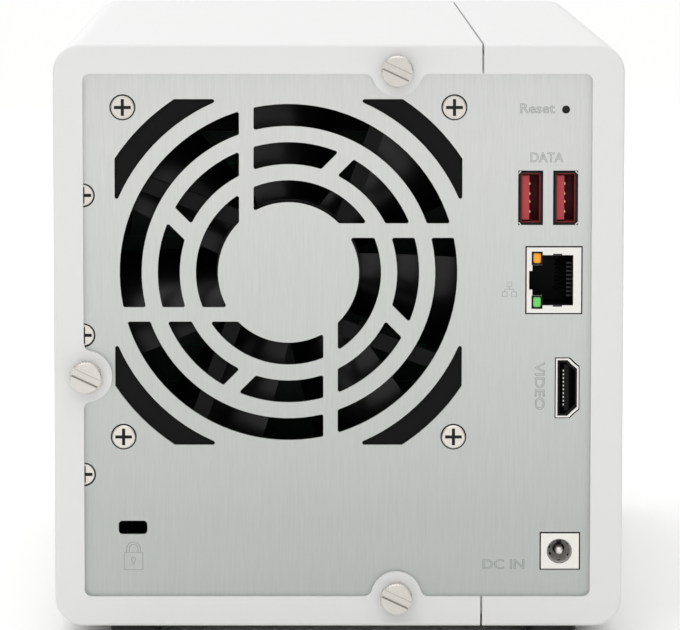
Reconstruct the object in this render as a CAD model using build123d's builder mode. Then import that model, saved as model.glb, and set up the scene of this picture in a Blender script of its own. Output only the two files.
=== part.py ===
from build123d import *
from math import cos, hypot, radians, sin
import os

os.makedirs("parts", exist_ok=True)

# Desktop network storage box with three upright drive trays. Millimetres, +Z up, front towards -Y.
# The origin is under the middle of the whole object, on the plane that the feet stand on.

# ---------------------------------------------------------------- driving sizes
# Case; its width follows from the drives inside
shell_height = 146.0
foot_height = 4.0
body_depth = 256.0  # bezel face to rear rim
corner_radius = 7.2
wall = 2.2
rear_edge_round = 0.9
front_edge_round = 2.4
seam_inset = 35.2  # board side to the parting line between the fixed shell and the removable cover
seam_gap = 0.5
parting_gap = 0.3  # bezel to shells
bezel_depth = 14.0
bezel_wall = 3.0

# Rear rim: the turned-in edge of both shells, with a lobe round each thumbscrew
rim_board_side = 8.0
rim_cover_side = 7.4
rim_ends = 7.4
rim_corner = 1.8
rim_thickness = 1.8
rim_clearance = 0.2
lobe_radius = 6.4
lobe_fillet = 2.0

# Thumbscrews
screw_proud = 4.0
thumb_head_radius = 4.0
thumb_shank_radius = 1.5
thumb_reach = 5.0  # tip ahead of the rear rim
thumb_hole_radius = 2.1
collar_radius = 3.0
collar_thickness = 0.6
turning_clearance = 0.05
tapping_clearance = 0.5  # round the thumbscrew's tip where it is not threaded
thumb_x = -14.5
thumb_top_inset = 6.7
thumb_bottom_inset = 7.3
thumb_side_inset = 8.1
thumb_side_z = 67.0
knurl_count = 36
knurl_radius = 0.22
thumb_slot = 2.1
thumb_slot_depth = 0.7
thumb_slot_angle = 25.0

# Sheet metal
plate_thickness = 1.0
sheet = 1.0
sheet_bend = 3.0
shell_clearance = 0.5
chassis_clearance = 1.1  # chassis side to the inside of the cover

# Fan
fan_size = 92.0
fan_depth = 25.0
fan_inset = 58.5  # fan's middle from the cover side
fan_z = 92.9
fan_hole_pitch = 82.5
fan_bore_radius = 44.25
fan_corner = 4.5
fan_flange = 4.0
duct_radius = 45.6
strut_depth = 3.5
strut_width = 4.0
strut_count = 4
mount_radius = 17.0
motor_radius = 13.0
hub_radius = 18.0
hub_wall = 2.0
hub_gap = 0.8
blade_count = 7
blade_tip_radius = 43.4
blade_thickness = 1.5
fan_shaft_radius = 1.5

# Guard slots cut in the rear plate
guard_rings = ((36.6, 42.1), (27.1, 32.6), (17.6, 23.1))
corner_slot_radii = (46.3, 51.8)
corner_slot_square = 86.6
guard_bar = 3.6
guard_bar_offset = 10.5
guard_diagonal = 4.0
guard_slot_round = 0.5

# Small screws
cross_arm = 4.2
cross_width = 0.8
cross_depth = 0.8
fan_screw_head = 2.9
fan_screw_recess = 3.25
fan_screw_recess_depth = 0.4
fan_screw_head_height = 1.1
fan_screw_shank = 2.1
fan_screw_length = 9.0
plate_screw_head = 2.75
plate_screw_recess = 3.0
plate_screw_recess_depth = 0.5
plate_screw_shank = 1.45
plate_screw_length = 6.0
plate_screw_pitch = 35.05
plate_screw_middle_z = 77.15
plate_screw_inset = 7.3
screw_fit = 0.1

# Mainboard and what stands on it
board_thickness = 1.6
standoff_height = 6.0
standoff_radius = 2.6
board_reach = 94.5  # how far the board runs on ahead of the backplane
board_bottom_gap = 8.0
board_top_gap = 10.0
port_proud = 0.3  # connector faces behind the rear plate's face
port_fit = 0.25

network_z = 91.0
network_rise = 7.5  # middle of the jack above the board's face
network_width = 13.6
network_height = 16.4
network_depth = 21.0
network_sheet = 0.4
plug_width = 7.8
plug_height = 12.6
plug_shift = 0.9  # opening towards the board from the middle of the jack
plug_depth = 15.0
latch_width = 2.4
latch_height = 7.6
notch_width = 0.8
notch_height = 4.7
lamp_width = 2.2
lamp_height = 2.8
lamp_pitch = 11.0
lamp_depth = 3.0
jack_contact_pitch = 1.02
jack_contact_count = 8

data_port_z = 111.6
data_port_rises = (4.7, 13.4)
data_port_width = 5.7
data_port_height = 13.1
data_port_depth = 14.5
data_port_sheet = 0.3
tongue_width = 1.8
tongue_height = 11.0
tongue_setback = 1.2
tongue_base = 5.0
data_contact_offsets = (-3.5, -1.0, 1.0, 3.5)

video_z = 63.95
video_rise = 4.05
video_width = 5.7
video_height = 14.8
video_depth = 11.0
video_sheet = 0.4

power_z = 22.75
power_rise = 5.65
power_width = 9.5
power_height = 8.9
power_depth = 13.0
power_face = 0.4
power_bore_radius = 3.15
power_bore_depth = 9.5
power_pin_radius = 1.05

reset_z = 133.6
reset_rise = 4.7
reset_hole_radius = 1.0
reset_plunger_radius = 0.75
reset_travel = 0.3

lock_inset = 19.5
lock_z = 28.7
lock_width = 7.2
lock_height = 3.4
lock_round = 1.0
bracket_thickness = 1.5
bracket_margin = 12.0
bracket_relief = 0.6

# Drives, trays and their cage
drive_thickness = 26.1
drive_height = 101.6
drive_length = 147.0
bay_count = 3
bay_clearance = 0.6
tray_wall = 2.2
tray_open_gap = 2.8  # drive's open side to the edge of its tray
tray_rail = 3.0
drive_clearance = 0.1
rail_height = 2.0
rail_width = 6.0
rail_clearance = 0.4
drive_setback = 30.0  # bezel face to the front of each drive
tray_panel_setback = 1.0
tray_panel_depth = 12.0
panel_gap = 0.7
window_margin = 0.6
cage_floor_clearance = 1.8
cage_seam_gap = 1.2
cage_chassis_gap = 0.4
rivet_gap = 0.05  # between the riveted sheets of the cage
connector_gap = 1.0
connector_depth = 7.0

lever_width = 11.0
lever_length = 72.0
lever_thickness = 5.0
lever_side_gap = 0.5
lever_slot_depth = 8.0
lever_pivot_radius = 1.5
lever_pivot_reach = 1.4
lever_pivot_height = 14.0
lever_finger_gap = 3.5
lever_inset = 2.2
lever_tip_length = 6.0

# Front strip
strip_inset = 17.5
power_button_z = 129.0
power_button_radius = 6.8
copy_button_z = 40.0
copy_button_radius = 4.0
button_clearance = 0.3
button_flange = 1.2
button_travel = 0.8
front_port_z = 60.0
light_pipe_radius = 1.2
light_pipe_top_z = 108.0
light_pipe_pitch = 8.0
light_pipe_count = 5

# Feet
foot_width = 12.6
foot_length = 26.0
foot_corner = 3.0
foot_pad_height = 1.4
foot_pad_inset = 1.2
foot_end_inset = 6.0
cover_foot_inset = 19.8
shell_foot_inset = 17.35

# ---------------------------------------------------------------- places worked out from the sizes
tray_width = tray_wall + drive_thickness + tray_open_gap
bay_width = tray_width + 2 * bay_clearance
bay_pitch = bay_width + sheet
cage_width = bay_count * bay_pitch + sheet
width = seam_inset + cage_seam_gap + cage_width + cage_chassis_gap + sheet + chassis_clearance + wall
side_x = width / 2
seam_x = seam_inset - side_x
rear_y = (body_depth - screw_proud) / 2
front_y = rear_y - body_depth
bottom_z = foot_height
top_z = foot_height + shell_height
mid_z = (bottom_z + top_z) / 2
shell_front_y = front_y + bezel_depth + parting_gap
plate_y = rear_y - rim_thickness - rim_clearance
plate_front_y = plate_y - plate_thickness
board_face_x = -side_x + wall + standoff_height + board_thickness
board_back_x = board_face_x - board_thickness
port_face_y = plate_y + port_proud
fan_x = side_x - fan_inset
lock_x = side_x - lock_inset
strip_x = strip_inset - side_x
thumbscrew_places = {
    "top": (thumb_x, top_z - thumb_top_inset),
    "side": (side_x - thumb_side_inset, thumb_side_z),
    "bottom": (thumb_x, bottom_z + thumb_bottom_inset),
}

fan_rear_y = plate_front_y
fan_front_y = fan_rear_y - fan_depth
fan_centre = (fan_x, fan_z)

tray_bottom_z = bottom_z + wall + cage_floor_clearance + 2 * sheet + rail_height + rail_clearance
tray_height = drive_height + 2 * (tray_rail + drive_clearance)
cage_bottom_z = tray_bottom_z - rail_clearance - rail_height - sheet
cage_top_z = tray_bottom_z + tray_height + rail_clearance + rail_height + sheet
chassis_side_x = side_x - wall - chassis_clearance
cage_left_x = seam_x + cage_seam_gap
cage_right_x = cage_left_x + cage_width
bay_centres = [cage_left_x + sheet + bay_width / 2 + bay_pitch * index for index in range(bay_count)]
drive_front_y = front_y + drive_setback
drive_rear_y = drive_front_y + drive_length
backplane_y = drive_rear_y + connector_gap + connector_depth
panel_front_y = front_y + tray_panel_setback
panel_rear_y = panel_front_y + tray_panel_depth
panel_bottom_z = cage_bottom_z + 0.6
panel_top_z = cage_top_z - 0.6
panel_width = bay_pitch - panel_gap
window_x = (
    bay_centres[0] - panel_width / 2 - window_margin,
    bay_centres[-1] + panel_width / 2 + window_margin,
)
window_z = (panel_bottom_z - window_margin, panel_top_z + window_margin)
button_board_y = front_y + bezel_depth - 1.0
lever_pivot_y = panel_front_y + lever_thickness / 2
lever_pivot_z = panel_bottom_z + lever_pivot_height


def across(y):
    """Plane across the case at depth y: sketch x is X, sketch y is Z, and extrude goes to the front."""
    return Plane.XZ.offset(-y)


def block(x_span, y_span, z_span, mode=Mode.ADD):
    """Rectangular block in the active part, from its low and high ends along X, Y and Z."""
    spans = [(min(span), max(span)) for span in (x_span, y_span, z_span)]
    middle = tuple((low + high) / 2 for low, high in spans)
    sizes = [high - low for low, high in spans]
    with Locations(middle):
        Box(*sizes, mode=mode)


def around(middle, size):
    """The span of a size centred on a coordinate."""
    return (middle - size / 2, middle + size / 2)


def disc(centre, radius, y_span, mode=Mode.ADD):
    """Round bar along Y in the active part; centre is its X and Z."""
    low, high = min(y_span), max(y_span)
    with BuildSketch(across(high)) as outline:
        with Locations(centre):
            Circle(radius)
    extrude(outline.sketch, amount=high - low, mode=mode)


def cross_recess(centre, y):
    """Cross-head driver recess cut forward from depth y."""
    x, z = centre
    block(around(x, cross_arm), (y - cross_depth, y), around(z, cross_width), Mode.SUBTRACT)
    block(around(x, cross_width), (y - cross_depth, y), around(z, cross_arm), Mode.SUBTRACT)


# ---------------------------------------------------------------- case shells
def case_outline(inset):
    """The case's rounded outline, moved in by a distance."""
    with BuildSketch(across(rear_y)) as outline:
        with Locations((0, mid_z)):
            RectangleRounded(
                width - 2 * inset, shell_height - 2 * inset, corner_radius - inset
            )
    return outline.sketch


def rim_opening():
    """Opening in the rear rim: a rounded rectangle with a lobe left standing at each thumbscrew."""
    low_x = -side_x + rim_board_side
    high_x = side_x - rim_cover_side
    opening_width = high_x - low_x
    opening_height = shell_height - 2 * rim_ends
    with BuildSketch(across(rear_y)) as opening:
        with Locations(((low_x + high_x) / 2, mid_z)):
            RectangleRounded(opening_width, opening_height, rim_corner)
        for place in thumbscrew_places.values():
            with Locations(place):
                Circle(lobe_radius, mode=Mode.SUBTRACT)
        lobe_corners = [
            corner
            for corner in opening.vertices()
            if any(
                abs(hypot(corner.X - x, corner.Y - z) - lobe_radius) < 0.01
                for x, z in thumbscrew_places.values()
            )
        ]
        fillet(lobe_corners, lobe_fillet)
    return opening.sketch


with BuildPart() as whole_shell:
    extrude(case_outline(0), amount=rear_y - shell_front_y)
    fillet(whole_shell.faces().sort_by(Axis.Y)[-1].edges(), rear_edge_round)
    with BuildSketch(across(rear_y - rim_thickness)) as hollow:
        with Locations((0, mid_z)):
            RectangleRounded(width - 2 * wall, shell_height - 2 * wall, corner_radius - wall)
    extrude(hollow.sketch, amount=body_depth, mode=Mode.SUBTRACT)
    extrude(rim_opening(), amount=rim_thickness, mode=Mode.SUBTRACT)
    for place in thumbscrew_places.values():
        disc(place, thumb_hole_radius, (rear_y - rim_thickness, rear_y), Mode.SUBTRACT)

# The fixed shell covers the mainboard side and carries the lap strips that close the seam
lap_width = 8.0
lap_reach = 5.0
lap_thickness = 1.2
lap_clearance = 0.2
with BuildPart() as board_shell:
    add(whole_shell.part)
    block((seam_x - seam_gap / 2, side_x + 1), (front_y, rear_y + 1), (0, top_z + 1), Mode.SUBTRACT)
    for inner_z, inward in ((top_z - wall, -1), (bottom_z + wall, 1)):
        strip_y = (shell_front_y, plate_front_y - 1)
        block(
            (seam_x - lap_width, seam_x + lap_reach),
            strip_y,
            (inner_z + inward * lap_clearance, inner_z + inward * lap_thickness),
        )
        block(
            (seam_x - lap_width, seam_x - seam_gap / 2),
            strip_y,
            (inner_z, inner_z + inward * lap_clearance),
        )
board_shell.part.label = "board_shell"
export_step(board_shell.part, "parts/board_shell.step")

with BuildPart() as side_cover:
    add(whole_shell.part)
    block((-side_x - 1, seam_x + seam_gap / 2), (front_y, rear_y + 1), (0, top_z + 1), Mode.SUBTRACT)
side_cover.part.label = "side_cover"
export_step(side_cover.part, "parts/side_cover.step")


# Moulded feet with a soft pad each, a rear and a front one under each side of the case
foot_depths = (rear_y - foot_end_inset - foot_length / 2, front_y + foot_end_inset + foot_length)
shell_foot_x = shell_foot_inset - side_x
cover_foot_x = side_x - cover_foot_inset
for name, foot_x in (("cover", cover_foot_x), ("shell", shell_foot_x)):
    foot_places = [(foot_x, foot_y) for foot_y in foot_depths]
    pad_width = foot_width - 2 * foot_pad_inset
    pad_length = foot_length - 2 * foot_pad_inset
    with BuildPart() as foot_bases:
        with BuildSketch(Plane.XY.offset(foot_pad_height)):
            with Locations(*foot_places):
                RectangleRounded(foot_width, foot_length, foot_corner)
        extrude(amount=foot_height - foot_pad_height)
        chamfer(foot_bases.faces().group_by(Axis.Z)[0].edges(), foot_pad_inset / 3)
    foot_bases.part.label = name + "_feet"
    export_step(foot_bases.part, f"parts/{name}_feet.step")
    with BuildPart() as foot_pads:
        with BuildSketch(Plane.XY):
            with Locations(*foot_places):
                RectangleRounded(pad_width, pad_length, foot_corner - foot_pad_inset)
        extrude(amount=foot_pad_height)
    foot_pads.part.label = name + "_foot_pads"
    export_step(foot_pads.part, f"parts/{name}_foot_pads.step")

# ---------------------------------------------------------------- front bezel
with BuildPart() as front_bezel:
    with BuildSketch(across(front_y + bezel_depth)):
        with Locations((0, mid_z)):
            RectangleRounded(width, shell_height, corner_radius)
    extrude(amount=bezel_depth)
    fillet(front_bezel.faces().sort_by(Axis.Y)[0].edges(), front_edge_round)
    # hollow behind the strip that carries the buttons
    strip_inner_x = window_x[0] - wall
    block(
        (-side_x + wall + 1.0, strip_inner_x),
        (front_y + bezel_wall, front_y + bezel_depth),
        (bottom_z + wall + 4.0, top_z - wall - 4.0),
        Mode.SUBTRACT,
    )
    block(window_x, (front_y, front_y + bezel_depth), window_z, Mode.SUBTRACT)
    for button_z, radius in ((power_button_z, power_button_radius), (copy_button_z, copy_button_radius)):
        disc((strip_x, button_z), radius + button_clearance, (front_y, front_y + bezel_wall), Mode.SUBTRACT)
    block(
        around(strip_x, data_port_width + port_fit),
        (front_y, front_y + bezel_wall),
        around(front_port_z, data_port_height + port_fit),
        Mode.SUBTRACT,
    )
    light_pipe_places = [
        (strip_x, light_pipe_top_z - light_pipe_pitch * index) for index in range(light_pipe_count)
    ]
    for place in light_pipe_places:
        disc(place, light_pipe_radius + screw_fit, (front_y, front_y + bezel_wall), Mode.SUBTRACT)
front_bezel.part.label = "front_bezel"
export_step(front_bezel.part, "parts/front_bezel.step")

# Buttons: a cap through the bezel, a flange behind it that keeps it in, and a stem to the switch
switch_height = 3.4
switch_gap = 0.2
stem_radius = 2.0
switch_front_y = button_board_y - switch_height
for name, button_z, radius in (
    ("power_button", power_button_z, power_button_radius),
    ("copy_button", copy_button_z, copy_button_radius),
):
    flange_y = front_y + bezel_wall + turning_clearance
    with BuildPart() as button:
        disc((strip_x, button_z), radius, (front_y + 0.2, flange_y))
        fillet(button.faces().sort_by(Axis.Y)[0].edges(), 0.5)
        disc((strip_x, button_z), radius + button_flange, (flange_y, flange_y + 1.0))
        disc((strip_x, button_z), stem_radius, (flange_y + 1.0, switch_front_y - switch_gap - button_travel))
    button.part.label = name
    export_step(button.part, f"parts/{name}.step")

with BuildPart() as button_board:
    block(
        (-side_x + wall + 3.0, strip_inner_x - 1.5),
        (button_board_y, button_board_y + board_thickness),
        (copy_button_z - 10, power_button_z + 10),
    )
    block(
        around(strip_x, data_port_width + 2 * port_fit),
        (button_board_y, button_board_y + board_thickness),
        around(front_port_z, data_port_height + 2 * port_fit),
        Mode.SUBTRACT,
    )
button_board.part.label = "button_board"
export_step(button_board.part, "parts/button_board.step")

with BuildPart() as button_switches:
    for button_z in (power_button_z, copy_button_z):
        block(around(strip_x, 6.0), (switch_front_y, button_board_y), around(button_z, 6.0))
button_switches.part.label = "button_switches"
export_step(button_switches.part, "parts/button_switches.step")

with BuildPart() as light_pipes:
    for place in light_pipe_places:
        disc(place, light_pipe_radius, (front_y + 0.1, button_board_y - 0.4))
        disc(place, light_pipe_radius + 0.8, (front_y + bezel_wall, front_y + bezel_wall + 1.5))
light_pipes.part.label = "light_pipes"
export_step(light_pipes.part, "parts/light_pipes.step")

# ---------------------------------------------------------------- rear plate
plate_width = width - 2 * (wall + shell_clearance)
plate_height = shell_height - 2 * (wall + shell_clearance)
plate_corner = corner_radius - wall - shell_clearance
plate_screw_places = [
    (side_x - plate_screw_inset, plate_screw_middle_z + plate_screw_pitch * step) for step in (-1, 0, 1)
]
fan_screw_places = [
    (fan_x + side * fan_hole_pitch / 2, fan_z + end * fan_hole_pitch / 2)
    for side in (-1, 1)
    for end in (-1, 1)
]
network_x = board_face_x + network_rise
data_port_places = [(board_face_x + rise, data_port_z) for rise in data_port_rises]
video_x = board_face_x + video_rise
power_x = board_face_x + power_rise
reset_place = (board_face_x + reset_rise, reset_z)


def guard_slots():
    """Fan guard: three slotted rings crossed by bars set off-centre like a pinwheel, and corner slots."""
    inner, outer = corner_slot_radii
    with BuildSketch(across(plate_y)) as slots:
        with Locations(fan_centre):
            Circle(outer)
            Circle(inner, mode=Mode.SUBTRACT)
            Rectangle(corner_slot_square, corner_slot_square, mode=Mode.INTERSECT)
            for ring_inner, ring_outer in guard_rings:
                Circle(ring_outer)
                Circle(ring_inner, mode=Mode.SUBTRACT)
            largest = guard_rings[0][1]
            bar_start = guard_rings[-1][0] / 2
            with PolarLocations(0, 4):
                with Locations(((bar_start + largest + 1) / 2, -guard_bar_offset)):
                    Rectangle(largest + 1 - bar_start, guard_bar, mode=Mode.SUBTRACT)
            middle_inner, middle_outer = guard_rings[1]
            diagonal_reach = (middle_inner + middle_outer) / 2 - 2.0
            with PolarLocations(0, 4, start_angle=45):
                with Locations((diagonal_reach, -guard_bar_offset)):
                    Rectangle(middle_outer - middle_inner + 3, guard_diagonal, mode=Mode.SUBTRACT)
        fillet(slots.vertices(), guard_slot_round)
    return slots.sketch


def video_outline(inset):
    """Outline of the video port, wide on the side away from the board and stepped in on the other."""
    half_width = video_width / 2 - inset
    half_height = video_height / 2 - inset
    step = 1.2
    right_half = [
        (half_width, half_height),
        (-half_width + 2 * step, half_height),
        (-half_width + step, half_height - step),
        (-half_width, half_height - 1.8 * step),
    ]
    points = right_half + [(x, -z) for x, z in reversed(right_half)]
    with BuildSketch(across(port_face_y)) as outline:
        with Locations((video_x, video_z)):
            Polygon(*points, align=None)
    return outline.sketch


with BuildPart() as rear_plate:
    with BuildSketch(across(plate_y)):
        with Locations((0, mid_z)):
            RectangleRounded(plate_width, plate_height, plate_corner)
    extrude(amount=plate_thickness)
    extrude(guard_slots(), amount=plate_thickness, mode=Mode.SUBTRACT)
    through = (plate_front_y, plate_y)
    for place in fan_screw_places:
        disc(place, fan_screw_shank + screw_fit, through, Mode.SUBTRACT)
        disc(place, fan_screw_recess, (plate_y - fan_screw_recess_depth, plate_y), Mode.SUBTRACT)
    for place in plate_screw_places:
        disc(place, plate_screw_shank + screw_fit, through, Mode.SUBTRACT)
        disc(place, plate_screw_recess, (plate_y - plate_screw_recess_depth, plate_y), Mode.SUBTRACT)
    for place in thumbscrew_places.values():
        disc(place, thumb_shank_radius + turning_clearance, through, Mode.SUBTRACT)
    disc(reset_place, reset_hole_radius, through, Mode.SUBTRACT)
    port_cut_outs = [
        (network_x, network_z, network_width, network_height),
        (power_x, power_z, power_width, power_height),
    ]
    port_cut_outs += [(x, z, data_port_width, data_port_height) for x, z in data_port_places]
    for x, z, port_width, port_height in port_cut_outs:
        block(
            around(x, port_width + 2 * port_fit),
            through,
            around(z, port_height + 2 * port_fit),
            Mode.SUBTRACT,
        )
    extrude(video_outline(-port_fit), amount=plate_thickness + port_proud, mode=Mode.SUBTRACT)
    with BuildSketch(across(plate_y)) as lock_slot:
        with Locations((lock_x, lock_z)):
            RectangleRounded(lock_width, lock_height, lock_round)
    extrude(lock_slot.sketch, amount=plate_thickness, mode=Mode.SUBTRACT)
rear_plate.part.label = "rear_plate"
export_step(rear_plate.part, "parts/rear_plate.step")

with BuildPart() as lock_bracket:
    bracket_y = (plate_front_y - bracket_thickness, plate_front_y)
    block(
        around(lock_x, lock_width + bracket_margin),
        bracket_y,
        around(lock_z, lock_height + bracket_margin),
    )
    block(
        around(lock_x, lock_width + bracket_relief),
        bracket_y,
        around(lock_z, lock_height + bracket_relief),
        Mode.SUBTRACT,
    )
lock_bracket.part.label = "lock_bracket"
export_step(lock_bracket.part, "parts/lock_bracket.step")

# Screws that hold the fan and the plate; each node is a set of like screws
for name, places, head, head_y, rest_y, shank, length in (
    (
        "fan_screws", fan_screw_places, fan_screw_head,
        plate_y - fan_screw_recess_depth + fan_screw_head_height, plate_y - fan_screw_recess_depth,
        fan_screw_shank, fan_screw_length,
    ),
    (
        "plate_screws", plate_screw_places, plate_screw_head,
        plate_y, plate_y - plate_screw_recess_depth,
        plate_screw_shank, plate_screw_length,
    ),
):
    with BuildPart() as screws:
        for place in places:
            disc(place, head, (rest_y, head_y))
        chamfer(screws.faces().group_by(Axis.Y)[-1].edges(), 0.25)
        for place in places:
            disc(place, shank, (rest_y - length, rest_y))
            cross_recess(place, head_y)
    screws.part.label = name
    export_step(screws.part, f"parts/{name}.step")

# Thumbscrews and the captive collars that travel with them in the cover's lobes
head_rear_y = rear_y + screw_proud
head_front_y = rear_y + turning_clearance * 2 + collar_thickness
for name, place in thumbscrew_places.items():
    with BuildPart() as thumbscrew:
        disc(place, thumb_head_radius, (head_front_y, head_rear_y))
        chamfer(thumbscrew.faces().sort_by(Axis.Y)[-1].edges(), 0.35)
        with BuildSketch(across(head_rear_y)) as knurls:
            with Locations(place):
                with PolarLocations(thumb_head_radius, knurl_count):
                    Circle(knurl_radius)
        extrude(knurls.sketch, amount=head_rear_y - head_front_y, mode=Mode.SUBTRACT)
        disc(place, thumb_shank_radius, (rear_y - thumb_reach, head_front_y))
        with BuildSketch(across(head_rear_y)) as driver_slot:
            with Locations(place):
                Rectangle(2 * thumb_head_radius + 1, thumb_slot, rotation=thumb_slot_angle)
        extrude(driver_slot.sketch, amount=thumb_slot_depth, mode=Mode.SUBTRACT)
    thumbscrew.part.label = f"thumbscrew_{name}"
    export_step(thumbscrew.part, f"parts/thumbscrew_{name}.step")
    with BuildPart() as collar:
        collar_y = (rear_y + turning_clearance, rear_y + turning_clearance + collar_thickness)
        disc(place, collar_radius, collar_y)
        disc(place, thumb_shank_radius + turning_clearance, collar_y, Mode.SUBTRACT)
    collar.part.label = f"thumbscrew_collar_{name}"
    export_step(collar.part, f"parts/thumbscrew_collar_{name}.step")

# ---------------------------------------------------------------- fan
with BuildPart() as fan_frame:
    with BuildSketch(across(fan_rear_y)):
        with Locations(fan_centre):
            RectangleRounded(fan_size, fan_size, fan_corner)
    extrude(amount=fan_depth)
    with BuildSketch(across(fan_rear_y - fan_flange)) as waist:
        with Locations(fan_centre):
            Rectangle(fan_size + 2, fan_size + 2)
            Circle(duct_radius, mode=Mode.SUBTRACT)
    extrude(waist.sketch, amount=fan_depth - 2 * fan_flange, mode=Mode.SUBTRACT)
    disc(fan_centre, fan_bore_radius, (fan_front_y, fan_rear_y), Mode.SUBTRACT)
    with BuildSketch(across(fan_rear_y)) as motor_mount:
        with Locations(fan_centre):
            Circle(mount_radius)
            with PolarLocations(0, strut_count, start_angle=20):
                with Locations(((mount_radius + fan_bore_radius) / 2, mount_radius / 2)):
                    Rectangle(fan_bore_radius - mount_radius + 3, strut_width)
    extrude(motor_mount.sketch, amount=strut_depth)
    for place in fan_screw_places:
        disc(place, fan_screw_shank + screw_fit, (fan_front_y, fan_rear_y), Mode.SUBTRACT)
fan_frame.part.label = "fan_frame"
export_step(fan_frame.part, "parts/fan_frame.step")

hub_rear_y = fan_rear_y - strut_depth - hub_gap
hub_front_y = fan_front_y + 1.5
with BuildPart() as fan_motor:
    motor_front_y = hub_front_y + hub_wall + hub_gap
    motor_y = (motor_front_y, fan_rear_y - strut_depth)
    disc(fan_centre, motor_radius, motor_y)
    disc(fan_centre, fan_shaft_radius + turning_clearance, motor_y, Mode.SUBTRACT)
fan_motor.part.label = "fan_motor"
export_step(fan_motor.part, "parts/fan_motor.step")

blade_middle_y = (hub_front_y + hub_rear_y) / 2


def blade_section(radius, chord, pitch, camber):
    """Cambered section of a fan blade at one radius, thin at both edges."""
    plane = Plane(
        origin=(fan_x, blade_middle_y, fan_z + radius),
        x_dir=(cos(radians(pitch)), sin(radians(pitch)), 0),
        z_dir=(0, 0, 1),
    )
    with BuildSketch(plane) as section:
        with BuildLine():
            ThreePointArc((-chord / 2, 0), (0, camber + blade_thickness / 2), (chord / 2, 0))
            ThreePointArc((chord / 2, 0), (0, camber - blade_thickness / 2), (-chord / 2, 0))
        make_face()
    return section.sketch


with BuildPart() as fan_blade:
    loft([
        blade_section(hub_radius - 4, 20.0, 42.0, 2.6),
        blade_section((hub_radius + blade_tip_radius) / 2, 26.0, 34.0, 2.6),
        blade_section(blade_tip_radius + 3, 30.0, 27.0, 2.4),
    ])

with BuildPart() as fan_rotor:
    fan_axis = Axis((fan_x, 0, fan_z), (0, 1, 0))
    for index in range(blade_count):
        add(fan_blade.part.rotate(fan_axis, index * 360 / blade_count))
    disc(fan_centre, blade_tip_radius, (fan_front_y, fan_rear_y), Mode.INTERSECT)
    disc(fan_centre, hub_radius, (hub_front_y, hub_rear_y))
    disc(fan_centre, hub_radius - hub_wall, (hub_front_y + hub_wall, fan_rear_y), Mode.SUBTRACT)
    disc(fan_centre, fan_shaft_radius, (hub_front_y, fan_rear_y - strut_depth - 0.5))
fan_rotor.part.label = "fan_rotor"
export_step(fan_rotor.part, "parts/fan_rotor.step")

# ---------------------------------------------------------------- chassis sheet metal
chassis_front_y = shell_front_y + 0.5
chassis_floor_z = bottom_z + wall + cage_floor_clearance
flange_width = 8.0
with BuildPart() as chassis_tray:
    chassis_y = (chassis_front_y, plate_front_y)
    flange_y = (plate_front_y - sheet, plate_front_y)
    wall_z = (chassis_floor_z, cage_top_z)
    block((cage_left_x, chassis_side_x), chassis_y, (chassis_floor_z, chassis_floor_z + sheet))
    block((chassis_side_x - sheet, chassis_side_x), chassis_y, wall_z)
    block((chassis_side_x - flange_width, chassis_side_x), flange_y, wall_z)
    bend = chassis_tray.edges().filter_by(Axis.Y).group_by(Axis.Z)[0].sort_by(Axis.X)[-1]
    fillet(bend, sheet_bend)
    for place in plate_screw_places:
        disc(place, plate_screw_shank + screw_fit, flange_y, Mode.SUBTRACT)
    disc(thumbscrew_places["side"], thumb_shank_radius + tapping_clearance, flange_y, Mode.SUBTRACT)
    # the lock bracket stands where the flange is notched
    block(
        (chassis_side_x - flange_width - 1, chassis_side_x - sheet),
        flange_y,
        around(lock_z, lock_height + bracket_margin + 1),
        Mode.SUBTRACT,
    )
chassis_tray.part.label = "chassis_tray"
export_step(chassis_tray.part, "parts/chassis_tray.step")

vent_rows = 4
vent_columns = 6
vent_width = 16.0
vent_height = 12.0
with BuildPart() as drive_cage:
    cage_y = (chassis_front_y, backplane_y)
    for sheet_z in (cage_bottom_z, cage_top_z - sheet):
        block((cage_left_x, cage_right_x), cage_y, (sheet_z, sheet_z + sheet))
    cage_wall_z = (cage_bottom_z + sheet + rivet_gap, cage_top_z - sheet - rivet_gap)
    for index in range(bay_count + 1):
        wall_x = cage_left_x + bay_pitch * index
        block((wall_x, wall_x + sheet), cage_y, cage_wall_z)
    with BuildSketch(Plane.YZ.offset(cage_left_x)) as vents:
        with Locations(((cage_y[0] + cage_y[1]) / 2, (cage_bottom_z + cage_top_z) / 2)):
            with GridLocations(vent_width * 1.6, vent_height * 1.9, vent_columns, vent_rows):
                SlotOverall(vent_width, vent_height)
    extrude(vents.sketch, amount=cage_right_x - cage_left_x, mode=Mode.SUBTRACT)
drive_cage.part.label = "drive_cage"
export_step(drive_cage.part, "parts/drive_cage.step")

with BuildPart() as guide_rails:
    for centre in bay_centres:
        for side in (-1, 1):
            rail_x = around(centre + side * (bay_width / 2 - rail_width), rail_width)
            block(rail_x, cage_y, (cage_bottom_z + sheet, cage_bottom_z + sheet + rail_height))
            block(rail_x, cage_y, (cage_top_z - sheet - rail_height, cage_top_z - sheet))
guide_rails.part.label = "guide_rails"
export_step(guide_rails.part, "parts/guide_rails.step")

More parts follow.
